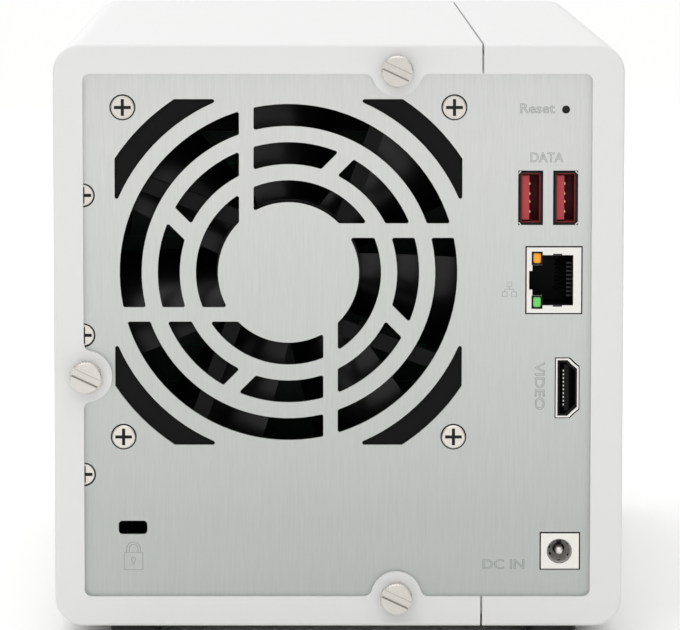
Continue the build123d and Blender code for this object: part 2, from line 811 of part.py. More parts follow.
# ---------------------------------------------------------------- trays, drives and levers
drive_bottom_z = tray_bottom_z + tray_rail + drive_clearance
drive_middle_z = drive_bottom_z + drive_height / 2
plug_recess_depth = connector_depth + connector_gap - 1.0
plug_recess_height = 46.0
plug_recess_width = 8.0
for index, centre in enumerate(bay_centres, start=1):
    tray_x = around(centre, tray_width)
    drive_x = (tray_x[0] + tray_wall, tray_x[0] + tray_wall + drive_thickness)
    lever_x = (centre - panel_width / 2 + lever_inset, centre - panel_width / 2 + lever_inset + lever_width)
    slot_x = (lever_x[0] - lever_side_gap, lever_x[1] + lever_side_gap)
    slot_z = (lever_pivot_z - lever_thickness, lever_pivot_z + lever_length + lever_finger_gap)
    with BuildPart() as tray:
        block(around(centre, panel_width), (panel_front_y, panel_rear_y), (panel_bottom_z, panel_top_z))
        fillet(tray.faces().sort_by(Axis.Y)[0].edges(), 0.8)
        tray_y = (panel_rear_y, drive_rear_y)
        block((tray_x[0], tray_x[0] + tray_wall), tray_y, (tray_bottom_z, tray_bottom_z + tray_height))
        for rail_z in (tray_bottom_z, tray_bottom_z + tray_height - tray_rail):
            block(tray_x, tray_y, (rail_z, rail_z + tray_rail))
        with BuildSketch(Plane.YZ.offset(tray_x[0])) as side_windows:
            with Locations(((drive_front_y + drive_rear_y) / 2, drive_middle_z)):
                with GridLocations(34.0, 46.0, 4, 2):
                    RectangleRounded(26.0, 36.0, 4.0)
        extrude(side_windows.sketch, amount=tray_wall, mode=Mode.SUBTRACT)
        block(slot_x, (panel_front_y, panel_front_y + lever_slot_depth), slot_z, Mode.SUBTRACT)
        with BuildSketch(Plane.YZ.offset(slot_x[0] - lever_pivot_reach)) as pivot_holes:
            with Locations((lever_pivot_y, lever_pivot_z)):
                Circle(lever_pivot_radius + turning_clearance)
        extrude(
            pivot_holes.sketch,
            amount=slot_x[1] - slot_x[0] + 2 * lever_pivot_reach,
            mode=Mode.SUBTRACT,
        )
        vent_x = (slot_x[1] + centre + panel_width / 2) / 2
        with BuildSketch(across(panel_rear_y)) as panel_vents:
            with Locations((vent_x, (panel_bottom_z + panel_top_z) / 2)):
                with GridLocations(5.2, 22.0, 3, 4):
                    SlotOverall(17.0, 2.6, rotation=90)
        extrude(panel_vents.sketch, amount=tray_panel_depth, mode=Mode.SUBTRACT)
    tray.part.label = f"tray_{index}"
    export_step(tray.part, f"parts/tray_{index}.step")

    with BuildPart() as drive:
        block(drive_x, (drive_front_y, drive_rear_y), (drive_bottom_z, drive_bottom_z + drive_height))
        fillet(drive.edges().filter_by(Axis.X), 2.0)
        block(
            (drive_x[0], drive_x[0] + plug_recess_width),
            (drive_rear_y - plug_recess_depth, drive_rear_y),
            around(drive_middle_z, plug_recess_height),
            Mode.SUBTRACT,
        )
    drive.part.label = f"drive_{index}"
    export_step(drive.part, f"parts/drive_{index}.step")

    with BuildPart() as lever:
        half = lever_thickness / 2
        with BuildSketch(Plane.YZ.offset(lever_x[0])) as side_view:
            with Locations((lever_pivot_y, lever_pivot_z)):
                Circle(half)
                Polygon(
                    (-half, 0),
                    (half, 0),
                    (half, lever_length - lever_tip_length),
                    (0, lever_length),
                    (-half, lever_length),
                    align=None,
                )
        extrude(side_view.sketch, amount=lever_width)
        with BuildSketch(Plane.YZ.offset(slot_x[0] - lever_pivot_reach + 0.1)) as trunnion:
            with Locations((lever_pivot_y, lever_pivot_z)):
                Circle(lever_pivot_radius)
        extrude(trunnion.sketch, amount=slot_x[1] - slot_x[0] + 2 * (lever_pivot_reach - 0.1))
    lever.part.label = f"tray_lever_{index}"
    export_step(lever.part, f"parts/tray_lever_{index}.step")

# ---------------------------------------------------------------- backplane
backplane_left_x = board_face_x + 0.3
with BuildPart() as backplane:
    backplane_y_span = (backplane_y, backplane_y + board_thickness)
    block((backplane_left_x, cage_right_x), backplane_y_span, (cage_bottom_z, cage_top_z))
    with BuildSketch(across(backplane_y + board_thickness)) as air_slots:
        for centre in bay_centres:
            with Locations((centre + bay_width / 4, drive_middle_z)):
                with GridLocations(1, 26.0, 1, 4):
                    SlotOverall(20.0, 7.0, rotation=90)
    extrude(air_slots.sketch, amount=board_thickness, mode=Mode.SUBTRACT)
backplane.part.label = "backplane"
export_step(backplane.part, "parts/backplane.step")

with BuildPart() as drive_connectors:
    for centre in bay_centres:
        recess_middle_x = centre - tray_width / 2 + tray_wall + plug_recess_width / 2
        block(
            around(recess_middle_x, plug_recess_width - 3.0),
            (backplane_y - connector_depth, backplane_y),
            around(drive_middle_z, plug_recess_height - 4.0),
        )
drive_connectors.part.label = "drive_connectors"
export_step(drive_connectors.part, "parts/drive_connectors.step")

# ---------------------------------------------------------------- mainboard
board_y = (backplane_y - board_reach, plate_front_y - 0.5)
board_z = (bottom_z + board_bottom_gap, top_z - board_top_gap)
standoff_places = [
    (y, z)
    for y in (board_y[0] + 8, backplane_y + 4.5, board_y[1] - 30)
    for z in (board_z[0] + 5, board_z[1] - 5)
]
board_screw_radius = 1.4
board_screw_head = 2.6
board_screw_head_height = 1.8
with BuildPart() as mainboard:
    block((board_back_x, board_face_x), board_y, board_z)
    with BuildSketch(Plane.YZ.offset(board_back_x)) as board_holes:
        with Locations(*standoff_places):
            Circle(board_screw_radius + screw_fit)
    extrude(board_holes.sketch, amount=board_thickness, mode=Mode.SUBTRACT)
mainboard.part.label = "mainboard"
export_step(mainboard.part, "parts/mainboard.step")

with BuildPart() as board_standoffs:
    with BuildSketch(Plane.YZ.offset(-side_x + wall)) as standoff_rings:
        with Locations(*standoff_places):
            RegularPolygon(standoff_radius, 6)
            Circle(board_screw_radius + screw_fit, mode=Mode.SUBTRACT)
    extrude(standoff_rings.sketch, amount=standoff_height)
board_standoffs.part.label = "board_standoffs"
export_step(board_standoffs.part, "parts/board_standoffs.step")

with BuildPart() as board_screws:
    with BuildSketch(Plane.YZ.offset(board_face_x)) as screw_heads:
        with Locations(*standoff_places):
            Circle(board_screw_head)
    extrude(screw_heads.sketch, amount=board_screw_head_height)
    with BuildSketch(Plane.YZ.offset(board_face_x)) as screw_shanks:
        with Locations(*standoff_places):
            Circle(board_screw_radius)
    extrude(screw_shanks.sketch, amount=-(board_thickness + standoff_height - 1.0))
board_screws.part.label = "board_screws"
export_step(board_screws.part, "parts/board_screws.step")

processor_y = backplane_y - 59.0
processor_z = 92.0
sink_size = 46.0
sink_y = around(processor_y, sink_size)
sink_z = around(processor_z, sink_size)
chip_height = 1.4
with BuildPart() as board_chips:
    # place along the board, height above the desk, length, height, rise off the board
    for y, z, length, height, rise in (
        (processor_y, processor_z, 30.0, 26.0, chip_height),  # processor
        (board_y[1] - 28.5, 88.0, 10.0, 10.0, 1.0),  # network controller
        (board_y[1] - 30.5, 64.0, 8.0, 8.0, 1.0),  # video driver
        (board_y[1] - 38.5, 110.0, 12.0, 9.0, 1.2),  # data port controller
        (board_y[1] - 52.5, 40.0, 9.0, 14.0, 4.2),  # two power inductors
        (board_y[1] - 38.5, 40.0, 9.0, 14.0, 4.2),
    ):
        block((board_face_x, board_face_x + rise), around(y, length), around(z, height))
board_chips.part.label = "board_chips"
export_step(board_chips.part, "parts/board_chips.step")

fin_count = 12
fin_thickness = 1.2
fin_height = 14.0
sink_base = 3.0
with BuildPart() as heat_sink:
    base_x = board_face_x + chip_height
    block((base_x, base_x + sink_base), sink_y, sink_z)
    fin_step = (sink_z[1] - sink_z[0] - fin_thickness) / (fin_count - 1)
    for index in range(fin_count):
        fin_z = sink_z[0] + index * fin_step
        block((base_x + sink_base, base_x + sink_base + fin_height), sink_y, (fin_z, fin_z + fin_thickness))
heat_sink.part.label = "heat_sink"
export_step(heat_sink.part, "parts/heat_sink.step")

# Memory stands up from its socket, parallel to the board
socket_length = 72.0
socket_rise = 6.5
socket_z = (27.0, 34.0)
module_length = 67.6
module_height = 30.0
module_thickness = 1.2
module_x = board_face_x + 4.0
module_seat_z = socket_z[1] - 2.0
module_fit = 0.2
memory_chip_count = 4
memory_chip_pitch = 16.0
memory_chip_size = (10.0, 12.0)
with BuildPart() as memory_socket:
    block((board_face_x, board_face_x + socket_rise), around(processor_y, socket_length), socket_z)
    block(
        (module_x - module_fit, module_x + module_thickness + module_fit),
        around(processor_y, module_length + 3 * module_fit),
        (module_seat_z, socket_z[1]),
        Mode.SUBTRACT,
    )
memory_socket.part.label = "memory_socket"
export_step(memory_socket.part, "parts/memory_socket.step")

with BuildPart() as memory_module:
    module_z = (module_seat_z + module_fit, module_seat_z + module_fit + module_height)
    module_face_x = module_x + module_thickness
    block((module_x, module_face_x), around(processor_y, module_length), module_z)
    for index in range(memory_chip_count):
        chip_y = processor_y + (index - (memory_chip_count - 1) / 2) * memory_chip_pitch
        block(
            (module_face_x, module_face_x + 1.0),
            around(chip_y, memory_chip_size[0]),
            around(module_z[0] + module_height * 0.6, memory_chip_size[1]),
        )
memory_module.part.label = "memory_module"
export_step(memory_module.part, "parts/memory_module.step")

card_width = 22.0
card_length = 80.0
card_thickness = 0.8
card_x = board_face_x + 3.2
card_bottom_z = 48.0
card_chip_size = (14.0, 12.0)
card_y = around(backplane_y + board_thickness + 4.0 + card_width / 2, card_width)
with BuildPart() as storage_card:
    card_face_x = card_x + card_thickness
    block((card_x, card_face_x), card_y, (card_bottom_z, card_bottom_z + card_length))
    for rise in (16.0, 36.0, 58.0):
        block(
            (card_face_x, card_face_x + 1.2),
            around(card_y[0] + card_width / 2, card_chip_size[0]),
            around(card_bottom_z + rise, card_chip_size[1]),
        )
storage_card.part.label = "storage_card"
export_step(storage_card.part, "parts/storage_card.step")

# ---------------------------------------------------------------- network jack
insert_fit = 0.05
jack_x = around(network_x, network_width)
jack_z = around(network_z, network_height)
jack_y = (port_face_y - network_depth, port_face_y)
plug_x = around(network_x - plug_shift, plug_width)
latch_x = (plug_x[1] - insert_fit, plug_x[1] + latch_width)
notch_x = (latch_x[1] - insert_fit, latch_x[1] + notch_width)
lamp_x = (plug_x[1] + 2 * insert_fit, plug_x[1] + 2 * insert_fit + lamp_width)
lamp_spans = [around(network_z + side * lamp_pitch / 2, lamp_height) for side in (-1, 1)]
with BuildPart() as network_shield:
    block(jack_x, jack_y, jack_z)
    inner_y = (jack_y[0] - 1, port_face_y - network_sheet)
    block(
        around(network_x, network_width - 2 * network_sheet),
        inner_y,
        around(network_z, network_height - 2 * network_sheet),
        Mode.SUBTRACT,
    )
    face_y = (port_face_y - network_sheet, port_face_y)
    block(plug_x, face_y, around(network_z, plug_height), Mode.SUBTRACT)
    block(latch_x, face_y, around(network_z, latch_height), Mode.SUBTRACT)
    block(notch_x, face_y, around(network_z, notch_height), Mode.SUBTRACT)
    for span in lamp_spans:
        block(
            (lamp_x[0] - insert_fit, lamp_x[1] + insert_fit),
            face_y,
            (span[0] - insert_fit, span[1] + insert_fit),
            Mode.SUBTRACT,
        )
network_shield.part.label = "network_shield"
export_step(network_shield.part, "parts/network_shield.step")

with BuildPart() as network_insert:
    insert_y = (jack_y[0], port_face_y - network_sheet - insert_fit)
    block(
        around(network_x, network_width - 2 * (network_sheet + insert_fit)),
        insert_y,
        around(network_z, network_height - 2 * (network_sheet + insert_fit)),
    )
    cavity_y = (port_face_y - plug_depth, port_face_y)
    block(plug_x, cavity_y, around(network_z, plug_height), Mode.SUBTRACT)
    block(latch_x, cavity_y, around(network_z, latch_height), Mode.SUBTRACT)
    block(notch_x, cavity_y, around(network_z, notch_height), Mode.SUBTRACT)
    for span in lamp_spans:
        block(
            (lamp_x[0] - insert_fit, lamp_x[1] + insert_fit),
            (port_face_y - lamp_depth - insert_fit, port_face_y),
            (span[0] - insert_fit, span[1] + insert_fit),
            Mode.SUBTRACT,
        )
network_insert.part.label = "network_insert"
export_step(network_insert.part, "parts/network_insert.step")

with BuildPart() as network_lamps:
    for span in lamp_spans:
        block(lamp_x, (port_face_y - lamp_depth, port_face_y - 0.1), span)
network_lamps.part.label = "network_lamps"
export_step(network_lamps.part, "parts/network_lamps.step")

# ---------------------------------------------------------------- data ports, rear pair and front one
data_ports = [(x, z, port_face_y, -1) for x, z in data_port_places]
data_ports.append((strip_x, front_port_z, front_y + 0.5, 1))
with BuildPart() as data_port_shells:
    for x, z, face, inward in data_ports:
        port_y = (face, face + inward * data_port_depth)
        block(around(x, data_port_width), port_y, around(z, data_port_height))
        block(
            around(x, data_port_width - 2 * data_port_sheet),
            port_y,
            around(z, data_port_height - 2 * data_port_sheet),
            Mode.SUBTRACT,
        )
data_port_shells.part.label = "data_port_shells"
export_step(data_port_shells.part, "parts/data_port_shells.step")

tongue_lift = 1.2  # middle of the tongue from the middle of the opening
with BuildPart() as data_port_tongues:
    for x, z, face, inward in data_ports:
        deep = face + inward * data_port_depth
        block(
            around(x, data_port_width - 2 * (data_port_sheet + insert_fit)),
            (deep - inward * tongue_base, deep),
            around(z, data_port_height - 2 * (data_port_sheet + insert_fit)),
        )
        block(
            around(x + tongue_lift, tongue_width),
            (face + inward * tongue_setback, deep - inward * tongue_base),
            around(z, tongue_height),
        )
data_port_tongues.part.label = "data_port_tongues"
export_step(data_port_tongues.part, "parts/data_port_tongues.step")

# ---------------------------------------------------------------- video port
with BuildPart() as video_port_shell:
    extrude(video_outline(0), amount=video_depth)
    extrude(video_outline(video_sheet), amount=video_depth, mode=Mode.SUBTRACT)
video_port_shell.part.label = "video_port_shell"
export_step(video_port_shell.part, "parts/video_port_shell.step")

with BuildPart() as video_port_insert:
    extrude(video_outline(video_sheet + insert_fit), amount=video_depth)
    extrude(video_outline(video_sheet + 0.5), amount=video_depth - 3.0, mode=Mode.SUBTRACT)
    block(around(video_x + 0.2, 1.2), (port_face_y - video_depth, port_face_y - 0.9), around(video_z, 11.6))
video_port_insert.part.label = "video_port_insert"
export_step(video_port_insert.part, "parts/video_port_insert.step")

# ---------------------------------------------------------------- contacts of the network and data ports
contact_thickness = 0.2
with BuildPart() as port_contacts:
    for index in range(jack_contact_count):
        contact_z = network_z + (index - (jack_contact_count - 1) / 2) * jack_contact_pitch
        with BuildSketch(Plane.XY.offset(contact_z - 0.22)) as spring:
            with BuildLine():
                Polyline(
                    (plug_x[0], port_face_y - 3.0),
                    (plug_x[0] + 1.7, port_face_y - 11.0),
                    (plug_x[0] + 1.7, port_face_y - 11.6),
                    (plug_x[0], port_face_y - 5.0),
                    close=True,
                )
            make_face()
        extrude(spring.sketch, amount=0.44)
    for x, z, face, inward in data_ports:
        tongue_side_x = x + tongue_lift - tongue_width / 2
        contact_y = (
            face + inward * (tongue_setback + 0.3),
            face + inward * (data_port_depth - tongue_base - 0.2),
        )
        for offset in data_contact_offsets:
            block((tongue_side_x - contact_thickness, tongue_side_x), contact_y, around(z + offset, 1.0))
port_contacts.part.label = "port_contacts"
export_step(port_contacts.part, "parts/port_contacts.step")

# ---------------------------------------------------------------- power jack
power_place = (power_x + 0.15, power_z)
with BuildPart() as power_jack_face:
    face_y = (port_face_y - power_face, port_face_y)
    block(around(power_x, power_width), face_y, around(power_z, power_height))
    disc(power_place, power_bore_radius, face_y, Mode.SUBTRACT)
power_jack_face.part.label = "power_jack_face"
export_step(power_jack_face.part, "parts/power_jack_face.step")

with BuildPart() as power_jack_body:
    block(
        around(power_x, power_width),
        (port_face_y - power_depth, port_face_y - power_face),
        around(power_z, power_height),
    )
    disc(power_place, power_bore_radius, (port_face_y - power_bore_depth, port_face_y), Mode.SUBTRACT)
    disc(power_place, power_pin_radius, (port_face_y - power_depth, port_face_y), Mode.SUBTRACT)
power_jack_body.part.label = "power_jack_body"
export_step(power_jack_body.part, "parts/power_jack_body.step")

with BuildPart() as power_jack_pin:
    disc(power_place, power_pin_radius, (port_face_y - power_depth, port_face_y - 0.6))
    fillet(power_jack_pin.faces().sort_by(Axis.Y)[-1].edges(), power_pin_radius * 0.8)
power_jack_pin.part.label = "power_jack_pin"
export_step(power_jack_pin.part, "parts/power_jack_pin.step")

# ---------------------------------------------------------------- reset button, pushed through the pin hole
reset_switch_y = (plate_front_y - 6.4, plate_front_y - 2.4)
plunger_y = (plate_front_y - 3.2, plate_front_y - 0.4)
with BuildPart() as reset_switch:
    block((board_face_x, board_face_x + 7.0), reset_switch_y, around(reset_z, 7.0))
    bore_y = (plunger_y[0] - reset_travel - 0.2, reset_switch_y[1])
    disc(reset_place, reset_plunger_radius + turning_clearance, bore_y, Mode.SUBTRACT)
reset_switch.part.label = "reset_switch"
export_step(reset_switch.part, "parts/reset_switch.step")

with BuildPart() as reset_button:
    disc(reset_place, reset_plunger_radius, plunger_y)
reset_button.part.label = "reset_button"
export_step(reset_button.part, "parts/reset_button.step")
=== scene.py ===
import random
from math import cos, pi, radians, sin

import bmesh
import bpy
from mathutils import Matrix, Vector


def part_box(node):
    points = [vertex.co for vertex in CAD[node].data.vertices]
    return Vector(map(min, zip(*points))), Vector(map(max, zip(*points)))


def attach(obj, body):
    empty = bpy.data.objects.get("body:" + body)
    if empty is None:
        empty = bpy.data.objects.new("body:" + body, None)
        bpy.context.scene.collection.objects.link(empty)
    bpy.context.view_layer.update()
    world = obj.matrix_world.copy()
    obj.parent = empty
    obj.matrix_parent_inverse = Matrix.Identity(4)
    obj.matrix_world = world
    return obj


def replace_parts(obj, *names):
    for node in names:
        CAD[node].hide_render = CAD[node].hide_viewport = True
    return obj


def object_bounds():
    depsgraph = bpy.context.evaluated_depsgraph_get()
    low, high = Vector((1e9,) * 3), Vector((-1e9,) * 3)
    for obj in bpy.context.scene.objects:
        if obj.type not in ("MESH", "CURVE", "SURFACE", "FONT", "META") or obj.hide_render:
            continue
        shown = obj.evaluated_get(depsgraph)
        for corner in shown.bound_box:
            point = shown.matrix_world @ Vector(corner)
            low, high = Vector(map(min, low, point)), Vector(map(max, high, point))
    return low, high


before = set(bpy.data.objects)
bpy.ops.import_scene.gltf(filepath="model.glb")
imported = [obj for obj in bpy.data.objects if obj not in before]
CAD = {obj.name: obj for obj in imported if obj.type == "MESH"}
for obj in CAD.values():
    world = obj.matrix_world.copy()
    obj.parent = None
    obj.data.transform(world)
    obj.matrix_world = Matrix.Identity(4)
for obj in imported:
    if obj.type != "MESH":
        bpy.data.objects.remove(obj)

cad_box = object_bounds()
MM = 0.001

# ------------------------------------------------------------------ studio
# The box stands on pale seamless paper, seen from just above the middle of its rear face with a long
# lens. A pale surround, brightest overhead, and two broad soft boxes light it as for a catalogue.


def linear(hex_colour):
    """sRGB hex to the linear colour that a shader socket takes."""
    channels = [int(hex_colour[i:i + 2], 16) / 255 for i in (1, 3, 5)]
    return tuple(c / 12.92 if c <= 0.04045 else ((c + 0.055) / 1.055) ** 2.4 for c in channels) + (1.0,)


def add_node(tree, kind, inputs=None, **settings):
    """Adds one shader node; inputs maps socket names or numbers to values or to other nodes' sockets."""
    made = tree.nodes.new("ShaderNode" + kind)
    for name, value in settings.items():
        setattr(made, name, value)
    for name, value in (inputs or {}).items():
        if isinstance(value, bpy.types.NodeSocket):
            tree.links.new(value, made.inputs[name])
        else:
            made.inputs[name].default_value = value
    return made


def new_material(name, **surface):
    """A material whose Principled shader has these socket values; returns it, its tree and its shader."""
    material = bpy.data.materials.new(name)
    material.use_nodes = True
    tree = material.node_tree
    tree.nodes.clear()
    sockets = {key.replace("_", " "): value for key, value in surface.items()}
    shader = add_node(tree, "BsdfPrincipled", sockets)
    output = add_node(tree, "OutputMaterial")
    tree.links.new(shader.outputs["BSDF"], output.inputs["Surface"])
    return material, tree, shader


def grained(name, colour, gloss, grain, relief, patch=12 * MM, **surface):
    """A surface whose roughness wanders between the two gloss values, from one patch to the next, under a
    fine grain. Grain and patch are widths, and relief is how high the grain stands."""
    surface.update(Base_Color=linear(colour), Roughness=sum(gloss) / 2)
    material, tree, shader = new_material(name, **surface)
    place = object_place(tree)
    fine = add_node(tree, "TexNoise", {"Vector": place, "Scale": 1 / grain, "Detail": 2.0})
    press = add_node(tree, "Bump", {"Height": fine.outputs["Fac"], "Strength": 0.3, "Distance": relief})
    tree.links.new(press.outputs["Normal"], shader.inputs["Normal"])
    rub = add_node(tree, "TexNoise", {"Vector": place, "Scale": 1 / patch, "Detail": 3.0})
    limits = {"To Min": gloss[0], "To Max": gloss[1]}
    spread = add_node(tree, "MapRange", {"Value": rub.outputs["Fac"], **limits})
    tree.links.new(spread.outputs["Result"], shader.inputs["Roughness"])
    return material


def mixed(tree, factor, first, second):
    """A colour between two colours, which are sRGB hex or other nodes' sockets, as a pattern says."""
    ends = [linear(end) if isinstance(end, str) else end for end in (first, second)]
    return add_node(tree, "MixRGB", {"Fac": factor, "Color1": ends[0], "Color2": ends[1]}).outputs["Color"]


def two_tone(material, factor, first, second):
    """Lets a pattern choose between two base colours of a material."""
    tree = material.node_tree
    shader = tree.nodes["Principled BSDF"]
    tree.links.new(mixed(tree, factor, first, second), shader.inputs["Base Color"])


def object_place(tree):
    """The point's place in the piece, in metres, which keeps a pattern at its real size."""
    return add_node(tree, "TexCoord").outputs["Object"]


def plain_object(name, data):
    """Puts a mesh, curve, light or camera in the scene."""
    made = bpy.data.objects.new(name, data)
    bpy.context.scene.collection.objects.link(made)
    return made


case_high = cad_box[1]
floor_reach = 6.0
seamless_paper = grained("seamless_paper", "#FCFCFB", (0.85, 0.95), 0.6 * MM, 0.02 * MM)
floor_mesh = bpy.data.meshes.new("floor")
floor_signs = ((-1, -1), (1, -1), (1, 1), (-1, 1))
floor_corners = [(side * floor_reach, end * floor_reach, 0) for side, end in floor_signs]
floor_mesh.from_pydata(floor_corners, [], [(0, 1, 2, 3)])
floor_mesh.materials.append(seamless_paper)
plain_object("floor", floor_mesh)

# The surround: how bright it is overhead and at the horizon, and what the left and right keep of that,
# which gives the case's upright edges their soft grey.
zenith_light = 1.56
horizon_light = 0.56
flank_light = 0.3
flank_start = 0.3
world = bpy.data.worlds.new("pale_surround")
bpy.context.scene.world = world
world.use_nodes = True
tree = world.node_tree
split = add_node(tree, "SeparateXYZ", {"Vector": add_node(tree, "TexCoord").outputs["Generated"]})
rise_range = {"Value": split.outputs["Z"], "To Min": horizon_light, "To Max": zenith_light}
rise = add_node(tree, "MapRange", rise_range)
sideways = add_node(tree, "Math", {0: split.outputs["X"]}, operation="ABSOLUTE")
flank_range = {"Value": sideways.outputs[0], "From Min": flank_start, "To Min": 1.0, "To Max": flank_light}
flank = add_node(tree, "MapRange", flank_range)
both = add_node(tree, "Math", {0: rise.outputs["Result"], 1: flank.outputs["Result"]}, operation="MULTIPLY")
tree.nodes["Background"].inputs["Color"].default_value = linear("#FFFFFF")
tree.links.new(both.outputs[0], tree.nodes["Background"].inputs["Strength"])


def soft_box(name, place, target, size, power):
    """A square area light at place, facing target."""
    light = bpy.data.lights.new(name, "AREA")
    light.shape = "SQUARE"
    light.size = size
    light.energy = power
    made = plain_object(name, light)
    made.location = place
    made.rotation_euler = (Vector(target) - Vector(place)).to_track_quat("-Z", "Y").to_euler()


middle = (0, 0, case_high[2] / 2)
soft_box("key_box", place=(0.5, 0.9, 1.2), target=middle, size=0.7, power=2.2)
soft_box("front_box", place=(0.6, -1.2, 0.9), target=middle, size=0.8, power=3.0)

# The camera stands 1.2 m behind the rear rim, aimed 6 degrees down; the shift keeps its yaw at zero.
camera = bpy.data.cameras.new("camera")
camera_object = plain_object("camera", camera)
stand_off = 1.21665
screw_head_reach = 4.0 * MM
camera_x = 8.64 * MM
camera_z = 212.17 * MM
look_down = 6.085
rear_rim_y = case_high[1] - screw_head_reach
camera_object.location = (camera_x, rear_rim_y + stand_off, camera_z)
camera_object.rotation_euler = (radians(90 - look_down), 0, pi)
camera.sensor_width = 36.0
camera.lens = 259.94
camera.shift_x = 0.0530
camera.clip_start = 0.01
bpy.context.scene.camera = camera_object
bpy.context.scene.view_settings.view_transform = "Standard"


def dress(material, *names):
    """Gives CAD nodes a material in place of their plain one."""
    for name in names:
        for material_slot in CAD[name].material_slots:
            material_slot.material = material


# ------------------------------------------------------------------ case shells and bezel
# Injection-moulded ABS, painted white with a fine satin finish. The fixed shell, the sliding cover and
# the bezel meet at narrow parting lines: the shell is riveted, the cover slides back, the bezel snaps on.

# Satin white: a soft broad highlight, broken up by a grain too fine to see one by one.
satin_white = grained(
    "painted_abs_satin_white", "#E4E4E3", (0.38, 0.47), 0.35 * MM, 0.012 * MM, patch=18 * MM, IOR=1.5
)
dress(satin_white, "board_shell", "side_cover", "front_bezel")

# ------------------------------------------------------------------ feet
# Black ABS feet moulded with the base, each with a dark rubber pad glued to its underside.

# Spark-eroded black: a matt, slightly pebbled skin that stays dark at the edges.
foot_black = grained("spark_eroded_black_abs", "#101011", (0.5, 0.65), 0.4 * MM, 0.04 * MM)
dress(foot_black, "cover_feet", "shell_feet")
# Rubber: greyer and duller, with a soft bloom.
pad_rubber = grained("moulded_grey_rubber", "#39393A", (0.75, 0.9), 0.3 * MM, 0.03 * MM)
dress(pad_rubber, "cover_foot_pads", "shell_foot_pads")

# ------------------------------------------------------------------ rear plate
# One sheet of 1 mm stainless steel, belt-brushed from top to bottom and held by three screws at its edge.
# The fan guard, port openings and lock slot are punched in it.

# Brushed stainless: hair-fine vertical lines, bright but far from a mirror. Real lines are near 0.05 mm
# wide; these are coarser so that they show.
brush_width = 0.32 * MM
brush_length = 7.0 * MM
brushed_steel, tree, shader = new_material(
    "brushed_stainless_steel", Base_Color=linear("#C6CAC6"), Metallic=1.0, Roughness=0.42, Anisotropic=0.4
)
brush_scale = (1 / brush_width, 1 / brush_width, 1 / brush_length)
stretch = add_node(tree, "Mapping", {"Vector": object_place(tree), "Scale": brush_scale})
brush = {"Vector": stretch.outputs["Vector"], "Scale": 1.0, "Detail": 4.0, "Roughness": 0.65}
lines = add_node(tree, "TexNoise", brush)
# painted light: the steel's colour grows lighter from low on the sheet to near its top, for the light that
# falls more on its upper part
height = add_node(tree, "SeparateXYZ", {"Vector": object_place(tree)}).outputs["Z"]
painted_light_climb = add_node(tree, "MapRange", {"Value": height, "From Min": 30 * MM, "From Max": 125 * MM})
shaded_low_steel = mixed(tree, lines.outputs["Fac"], "#B7BBB7", "#CCCFCC")
lit_top_steel = mixed(tree, lines.outputs["Fac"], "#D3D5D2", "#E9EAE8")
two_tone(brushed_steel, painted_light_climb.outputs["Result"], shaded_low_steel, lit_top_steel)
gloss = add_node(tree, "MapRange", {"Value": lines.outputs["Fac"], "To Min": 0.34, "To Max": 0.52})
tree.links.new(gloss.outputs["Result"], shader.inputs["Roughness"])
press = add_node(tree, "Bump", {"Height": lines.outputs["Fac"], "Strength": 0.25, "Distance": 0.03 * MM})
tree.links.new(press.outputs["Normal"], shader.inputs["Normal"])
along = add_node(tree, "Tangent", direction_type="RADIAL", axis="Z")
tree.links.new(along.outputs["Tangent"], shader.inputs["Tangent"])
dress(brushed_steel, "rear_plate")

# ------------------------------------------------------------------ legends stamped in the plate
# Each word and sign is a fine outline stamped in the steel beside its port, unpainted. They are generic
# words and signs: reset, data, video, power input, a small network and a padlock.


def piece(name, shape, material, body):
    """Turns a bmesh into an object of that material, which rides on a CAD body."""
    bmesh.ops.recalc_face_normals(shape, faces=shape.faces)
    mesh = bpy.data.meshes.new(name)
    shape.to_mesh(mesh)
    shape.free()
    mesh.materials.append(material)
    for face in mesh.polygons:
        face.use_smooth = True
    mesh.set_sharp_from_angle(angle=radians(35))
    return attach(plain_object(name, mesh), body)


def add_curve(shape, curve, place, fit=None):
    """Adds a curve's tubes to a bmesh, centred and fitted to a width if one is given, then put in place."""
    holder = plain_object(curve.name, curve)
    bpy.context.view_layer.update()
    mesh = bpy.data.meshes.new_from_object(holder.evaluated_get(bpy.context.evaluated_depsgraph_get()))
    bpy.data.objects.remove(holder)
    if fit:
        lows = [min(v.co[axis] for v in mesh.vertices) for axis in (0, 1)]
        highs = [max(v.co[axis] for v in mesh.vertices) for axis in (0, 1)]
        centre = Vector(((lows[0] + highs[0]) / 2, (lows[1] + highs[1]) / 2, 0))
        mesh.transform(Matrix.Scale(fit / (highs[0] - lows[0]), 4, (1, 0, 0)) @ Matrix.Translation(-centre))
    mesh.transform(place)
    shape.from_mesh(mesh)


typeface_cap = 0.69  # the built-in typeface's capitals, as a share of its size


def add_word(shape, word, line, cap_height, word_width, place):
    """Adds a word as outlined letters."""
    letters = bpy.data.curves.new(word, "FONT")
    letters.body = word
    letters.size = cap_height / typeface_cap
    letters.fill_mode = "NONE"
    letters.resolution_u = 3
    letters.bevel_depth = line / 2
    letters.bevel_resolution = 0
    add_curve(shape, letters, place, word_width)


def add_paths(shape, paths, line, place):
    """Adds fine raised lines; each path is a list of flat points, closed if its last point is its first."""
    drawn = bpy.data.curves.new("drawn_lines", "CURVE")
    drawn.dimensions = "3D"
    drawn.bevel_depth = line / 2
    drawn.bevel_resolution = 0
    for path in paths:
        closed = path[0] == path[-1]
        points = path[:-1] if closed else path
        spline = drawn.splines.new("POLY")
        spline.points.add(len(points) - 1)
        for target, point in zip(spline.points, points):
            target.co = (point[0], point[1], 0, 1)
        spline.use_cyclic_u = closed
    add_curve(shape, drawn, place)


def arc(centre, radius, start, end, steps=16):
    """Points along an arc, angles in degrees."""
    angles = [radians(start + (end - start) * step / steps) for step in range(steps + 1)]
    return [(centre[0] + radius * cos(a), centre[1] + radius * sin(a)) for a in angles]


